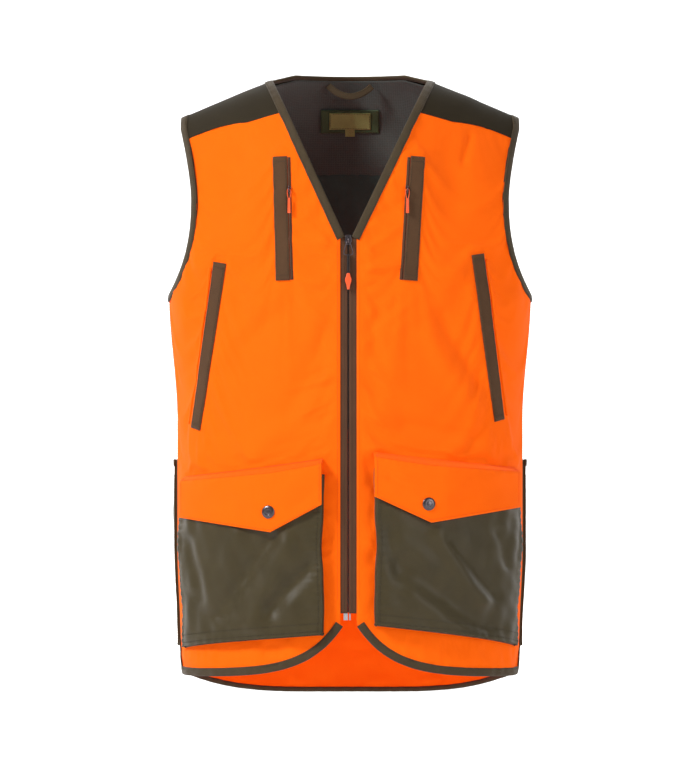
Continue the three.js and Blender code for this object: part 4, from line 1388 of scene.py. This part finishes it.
def wire(points, radius, closed=True, sides=3):
    """A round wire through the given points, made from a circle that is bent and thickened."""
    obj = add_solid("circle", vertices=len(points), radius=MM)
    for vertex, p in zip(obj.data.vertices, points):
        vertex.co = [c * MM for c in p]
    if not closed:
        pick(obj, lambda co, n: False, "VERT")
        bpy.ops.object.mode_set(mode="OBJECT")
        last = len(points) - 1
        for e in obj.data.edges:
            e.select = set(e.vertices) == {0, last}
        bpy.ops.object.mode_set(mode="EDIT")
        bpy.ops.mesh.select_mode(type="EDGE")
        bpy.ops.mesh.delete(type="EDGE")
        bpy.ops.object.mode_set(mode="OBJECT")
    bpy.ops.object.convert(target="CURVE")
    obj = bpy.context.object
    obj.data.bevel_depth = radius * MM
    obj.data.bevel_resolution = sides
    obj.data.use_fill_caps = True
    bpy.ops.object.convert(target="MESH")
    return bpy.context.object


def arch_wire(radius, middle_y, base_z, rise, count, overlap, thick):
    """A wire bent into a half round, standing on the slider's top plate."""
    turns = np.linspace(-overlap, math.pi + overlap, count)
    points = [(0, middle_y + radius * math.cos(t), base_z + rise * math.sin(t)) for t in turns]
    return wire(points, thick, closed=False)


def soften(points, times=3, closed=True):
    """Round the corners of a path of points by cutting them off again and again."""
    p = np.array(points, float)
    for _ in range(times):
        q = np.roll(p, -1, 0)
        mixed = np.stack([p * 0.75 + q * 0.25, p * 0.25 + q * 0.75], 1)
        if closed:
            p = mixed.reshape(-1, 3)
        else:
            p = np.concatenate([p[:1], mixed[:-1].reshape(-1, 3), p[-1:]])
    return p


# %% Joining, seating and copying
def hard_piece(name, parts, material):
    bpy.ops.object.mode_set(mode="OBJECT")
    obj = join_pieces(name, parts)
    for layer in list(obj.data.uv_layers):
        obj.data.uv_layers.remove(layer)
    obj.data.materials.clear()
    obj.data.materials.append(material)
    bpy.context.view_layer.objects.active = obj
    bpy.ops.object.shade_smooth_by_angle(angle=math.radians(40))
    return obj


def seat_at(angle, h):
    """A seat on the cloth: X across, Y up and Z outward, at one place."""
    out = Vector(normal(angle, h))
    up = Vector(surface(angle, h + 0.5) - surface(angle, h - 0.5)).normalized()
    across = up.cross(out).normalized()
    turn = Matrix((across, up, out)).transposed().to_4x4()
    return Matrix.Translation(Vector(surface(angle, h) * MM)) @ turn


def zip_seat(x, y, h):
    """A seat on the zip: X across, Y up and Z straight forward."""
    return Matrix.Translation(Vector((x, y, h - HEIGHT)) * MM) @ Matrix.Rotation(math.pi / 2, 4, "X")


def copy_to(original, name, seat, slot, body, node):
    obj = original.copy()
    obj.data = original.data.copy()
    obj.name = name
    bpy.context.scene.collection.objects.link(obj)
    obj.data.transform(seat)
    obj.data.update()
    declare(obj, slot, node, body=body)


def seat_once(original, *details):
    """A piece that there is one of: its only copy is seated, and the original goes."""
    copy_to(original, *details)
    bpy.data.objects.remove(original)


# %% Snap fasteners
cap = disc(7.7, 0.9, 20.05, vertices=48)
pick(cap, lambda c, n: n.z > 0.9)
for inset, rise in ((0.9, 0.55), (1.4, 0.45), (1.6, 0.15), (0.5, -0.45), (0.9, 0.3)):
    bpy.ops.mesh.inset(thickness=inset * MM)
    bpy.ops.transform.translate(value=(0, 0, rise * MM))
round_off(cap, 0.18, 2, 24)
cap = hard_piece("cap", [cap], METAL)

socket = disc(6.1, 1.2, 17.0)
pick(socket, lambda c, n: n.z < -0.9)
bpy.ops.mesh.inset(thickness=3.2 * MM)
bpy.ops.transform.translate(value=(0, 0, 0.6 * MM))
round_off(socket, 0.2, 2)
socket = hard_piece("socket", [socket], METAL)

stud = disc(5.9, 0.7, 14.75)
pick(stud, lambda c, n: n.z > 0.9)
bpy.ops.mesh.inset(thickness=4.0 * MM)
bpy.ops.mesh.extrude_region_move(TRANSFORM_OT_translate={"value": (0, 0, 1.25 * MM)})
bpy.ops.transform.resize(value=(1.1, 1.1, 1))
round_off(stud, 0.15, 2)
stud = hard_piece("stud", [stud], METAL)

# %% Seating the snaps
for name, sign in SIDES.items():
    x, h = FLAPS[name]["snap"]
    seat = seat_at(front(sign * x, h, 18), h)
    copy_to(cap, f"snap_cap_metal_{name}", seat, "gunmetal", f"flap_{name}", f"snap_cap_{name}")
    copy_to(socket, f"snap_socket_metal_{name}", seat, "gunmetal", f"flap_{name}", f"snap_socket_{name}")
    copy_to(stud, f"snap_stud_metal_{name}", seat, "gunmetal", f"front_{name}", f"snap_stud_{name}")
for original in (cap, socket, stud):
    bpy.data.objects.remove(original)
print("snaps seated")

# %% Chest zip sliders and pulls
plate = brick(3.3, 9, 2.9, 4.1)
pick(plate, lambda c, n: n.y < -0.9)
bpy.ops.transform.resize(value=(0.7, 1, 1))
round_off(plate, 0.4)
arch = arch_wire(3.0, 0.0, 4.2, 3.3, 14, 0.15, 0.7)
chest_slider = hard_piece("chest_slider", [plate, arch], METAL)
ring_corners = [(-1.9, 0.6, 6), (1.9, 0.6, 6), (2.4, -4, 6), (1.1, -10.8, 6), (-1.1, -10.8, 6),
                (-2.4, -4, 6)]
ring = wire(soften(ring_corners, 2), 0.45)
grip = brick(3.6, 17.5, 4.9, 7.1, y=-19)
pick(grip, lambda c, n: n.y > 0.9)
bpy.ops.transform.resize(value=(0.8, 1, 0.8))
pick(grip, lambda c, n: n.z > 0.9)
bpy.ops.mesh.inset(thickness=0.7 * MM)
bpy.ops.transform.translate(value=(0, 0, -0.35 * MM))
round_off(grip, 0.45)
chest_pull = hard_piece("chest_pull", [ring, grip], GRIP)

# %% Seating the chest sliders
SLIDER_H = 603.0
for name, sign in SIDES.items():
    (x0, h0), (x1, h1) = WELTS[name]["chest"]
    x = sign * (mix(x0, x1, (SLIDER_H - h0) / (h1 - h0)) - 8.4 - 2.3)
    seat = seat_at(front(x, SLIDER_H), SLIDER_H)
    slider, pull = f"chest_slider_{name}", f"chest_pull_{name}"
    copy_to(chest_slider, f"chest_slider_metal_{name}", seat, "gunmetal", slider, slider)
    copy_to(chest_pull, f"chest_pull_grip_{name}", seat, "grip_plastic", pull, pull)
for original in (chest_slider, chest_pull):
    bpy.data.objects.remove(original)

# %% Main slider
seat = zip_seat(ZIP_X, -122, 541.5)
plates = []
for low, high in ((-0.2, 1.3), (-6.2, -4.7)):
    body = brick(8.5, 12, low, high, y=2)
    bpy.ops.object.mode_set(mode="EDIT")
    bpy.ops.mesh.select_all(action="SELECT")
    bpy.ops.mesh.bisect(plane_co=(0, 0.5 * MM, 0), plane_no=(0, 1, 0))
    pick(body, lambda co, n: co.y < -3.5 * MM, "VERT")
    bpy.ops.transform.resize(value=(0.62, 1, 1), center_override=(0, -4 * MM, 0))
    pick(body, lambda co, n: co.y > 7.5 * MM, "VERT")
    bpy.ops.transform.resize(value=(0.72, 1, 1), center_override=(0, 8 * MM, 0))
    round_off(body, 0.45)
    plates.append(body)
post = disc(0.8, 5, -2.2, y=5.4, vertices=20)
crown = arch_wire(3.7, 1.0, 1.1, 3.4, 16, 0.1, 0.95)
main_slider = hard_piece("main_slider", plates + [post, crown], METAL)
seat_once(main_slider, "zip_slider_metal", seat, "gunmetal", "zip_slider", "zip_slider")

# %% Teardrop wire
corners = [(-1.9, 0, 3.4), (1.9, 0, 3.4), (3.2, -5, 3.4), (5.6, -12.5, 3.4), (4.6, -16.0, 3.4),
           (-4.6, -16.0, 3.4), (-5.6, -12.5, 3.4), (-3.2, -5, 3.4)]
teardrop = hard_piece("teardrop", [wire(soften(corners, 3), 0.6)], METAL)
seat_once(teardrop, "zip_wire_metal", seat, "gunmetal", "zip_wire", "zip_pull_wire")

# %% Cord and grip
# The cord is doubled over the wire and moulded into a tapered grip.
lower_seat = seat @ Matrix.Translation(Vector((0, -16, 3.4)) * MM)
strands = []
for x in (-0.95, 0.95):
    path = [(x, -22, 0.75), (x, -3, 1.5), (x, 0, 1.75), (x, 1.6, 0), (x, 0, -1.75), (x, -3, -1.5),
            (x, -22, -0.75)]
    strands.append(wire(soften(path, 2, closed=False), 0.62, closed=False))
cord = hard_piece("cord", strands, hard("cord_braid", (0.022, 0.016, 0.016), 0.75, 0.0))
seat_once(cord, "zip_pull_cord", lower_seat, "grip_plastic", "zip_grip", "zip_pull_grip")
handle = brick(3.4, 19.5, -1.9, 1.9, y=-31)
bpy.ops.object.mode_set(mode="EDIT")
bpy.ops.mesh.select_all(action="SELECT")
for y in (-25.5, -28, -31, -35):
    bpy.ops.mesh.bisect(plane_co=(0, y * MM, 0), plane_no=(0, 1, 0))
    bpy.ops.mesh.select_all(action="SELECT")
GRIP_TAPER = ((-25.5, 1.6, 1.05), (-28, 2.3, 1.2), (-31, 2.15, 1.2), (-35, 1.35, 1.1), (-40.75, 0.85, 0.8))
for y, wide, thick in GRIP_TAPER:
    pick(handle, lambda co, n: abs(co.y - y * MM) < 0.2 * MM, "VERT")
    bpy.ops.transform.resize(value=(wide, 1, thick), center_override=(0, y * MM, 0))
round_off(handle, 0.7, 3, 30)
handle = hard_piece("handle", [handle], GRIP)
seat_once(handle, "zip_pull_handle", lower_seat, "grip_plastic", "zip_grip", "zip_pull_grip")

# %% Zip end box and pin
retainer = brick(5, 8, -2.25, 2.25)
pick(retainer, lambda c, n: n.z > 0.9)
bpy.ops.mesh.inset(thickness=0.9 * MM)
bpy.ops.transform.translate(value=(0, 0, -0.4 * MM))
round_off(retainer, 0.4)
retainer = hard_piece("retainer", [retainer], PALE)
box_seat = zip_seat(ZIP_X - 3.1, -119.6, 98)
seat_once(retainer, "zip_box_plastic", box_seat, "gunmetal", "front_right", "zip_box")
pin = brick(1.8, 8, -1, 1)
round_off(pin, 0.35)
pin = hard_piece("pin", [pin], PALE)
pin_seat = zip_seat(ZIP_X + 1.9, -119.6, 98)
seat_once(pin, "zip_pin_plastic", pin_seat, "gunmetal", "front_left", "zip_pin")


# %% [markdown]
# ## Studio
# A pale curved backdrop, broad soft lamps, and a long lens level with the chest.
# A bare plane would show its horizon, so the floor bends up into a far wall with its own lamps.

# %% Backdrop
profile = [(-12.0, -0.95), (7.0, -0.95), (8.6, -0.8), (9.7, 0.0), (10.0, 1.4), (10.0, 7.0)]
wall_points = [(x, y, z) for y, z in profile for x in (-14, 14)]
wall_faces = [(2 * i, 2 * i + 1, 2 * i + 3, 2 * i + 2) for i in range(len(profile) - 1)]
backdrop = new_object("backdrop", np.array(wall_points) / MM, wall_faces)
paper, nodes, links, shader = node_tree("paper")
shader.inputs["Base Color"].default_value = (0.94, 0.94, 0.94, 1)
shader.inputs["Roughness"].default_value = 0.9
backdrop.data.materials.append(paper)


# %% Lamps
def lamp(name, place_at, size, power, aim=(0, 0, -0.37)):
    data = bpy.data.lights.new(name, "AREA")
    data.shape = "RECTANGLE"
    data.size, data.size_y = size
    data.energy = power
    obj = bpy.data.objects.new(name, data)
    obj.location = place_at
    obj.rotation_euler = (Vector(aim) - obj.location).to_track_quat("-Z", "Y").to_euler()
    bpy.context.scene.collection.objects.link(obj)


lamp("key", (-2.6, -2.0, 1.9), (0.8, 0.8), 135)
lamp("fill", (2.6, -2.8, 0.3), (1.8, 1.8), 42)
lamp("rear_left", (-2.4, 2.2, 0.6), (1.6, 2.0), 45)
lamp("rear_right", (2.6, 2.0, 0.4), (1.6, 2.0), 25)
lamp("floor", (0, 4.4, 2.4), (5.0, 4.0), 170, aim=(0, 4.41, -1))
lamp("wall", (0, 5.5, 1.5), (4.0, 3.0), 260, aim=(0, 10, 0.2))
world = bpy.data.worlds.new("studio")
world.use_nodes = True
set_inputs(world.node_tree.nodes["Background"], Color=(1, 1, 1, 1), Strength=0.27)
bpy.context.scene.world = world
print("lamps:", sorted(light.name for light in bpy.data.lights))

# %% Camera
camera_data = bpy.data.cameras.new("camera")
camera_data.lens = 36 * 8.0 / 0.9252
camera_data.clip_end = 60
camera = bpy.data.objects.new("camera", camera_data)
camera.location = (0, -8.0, -0.3726)
camera.rotation_euler = (math.pi / 2, 0, 0)
bpy.context.scene.collection.objects.link(camera)
bpy.context.scene.camera = camera

# The plain view transform keeps the fluorescent orange as strong as the eye sees it.
bpy.context.scene.view_settings.view_transform = "Standard"
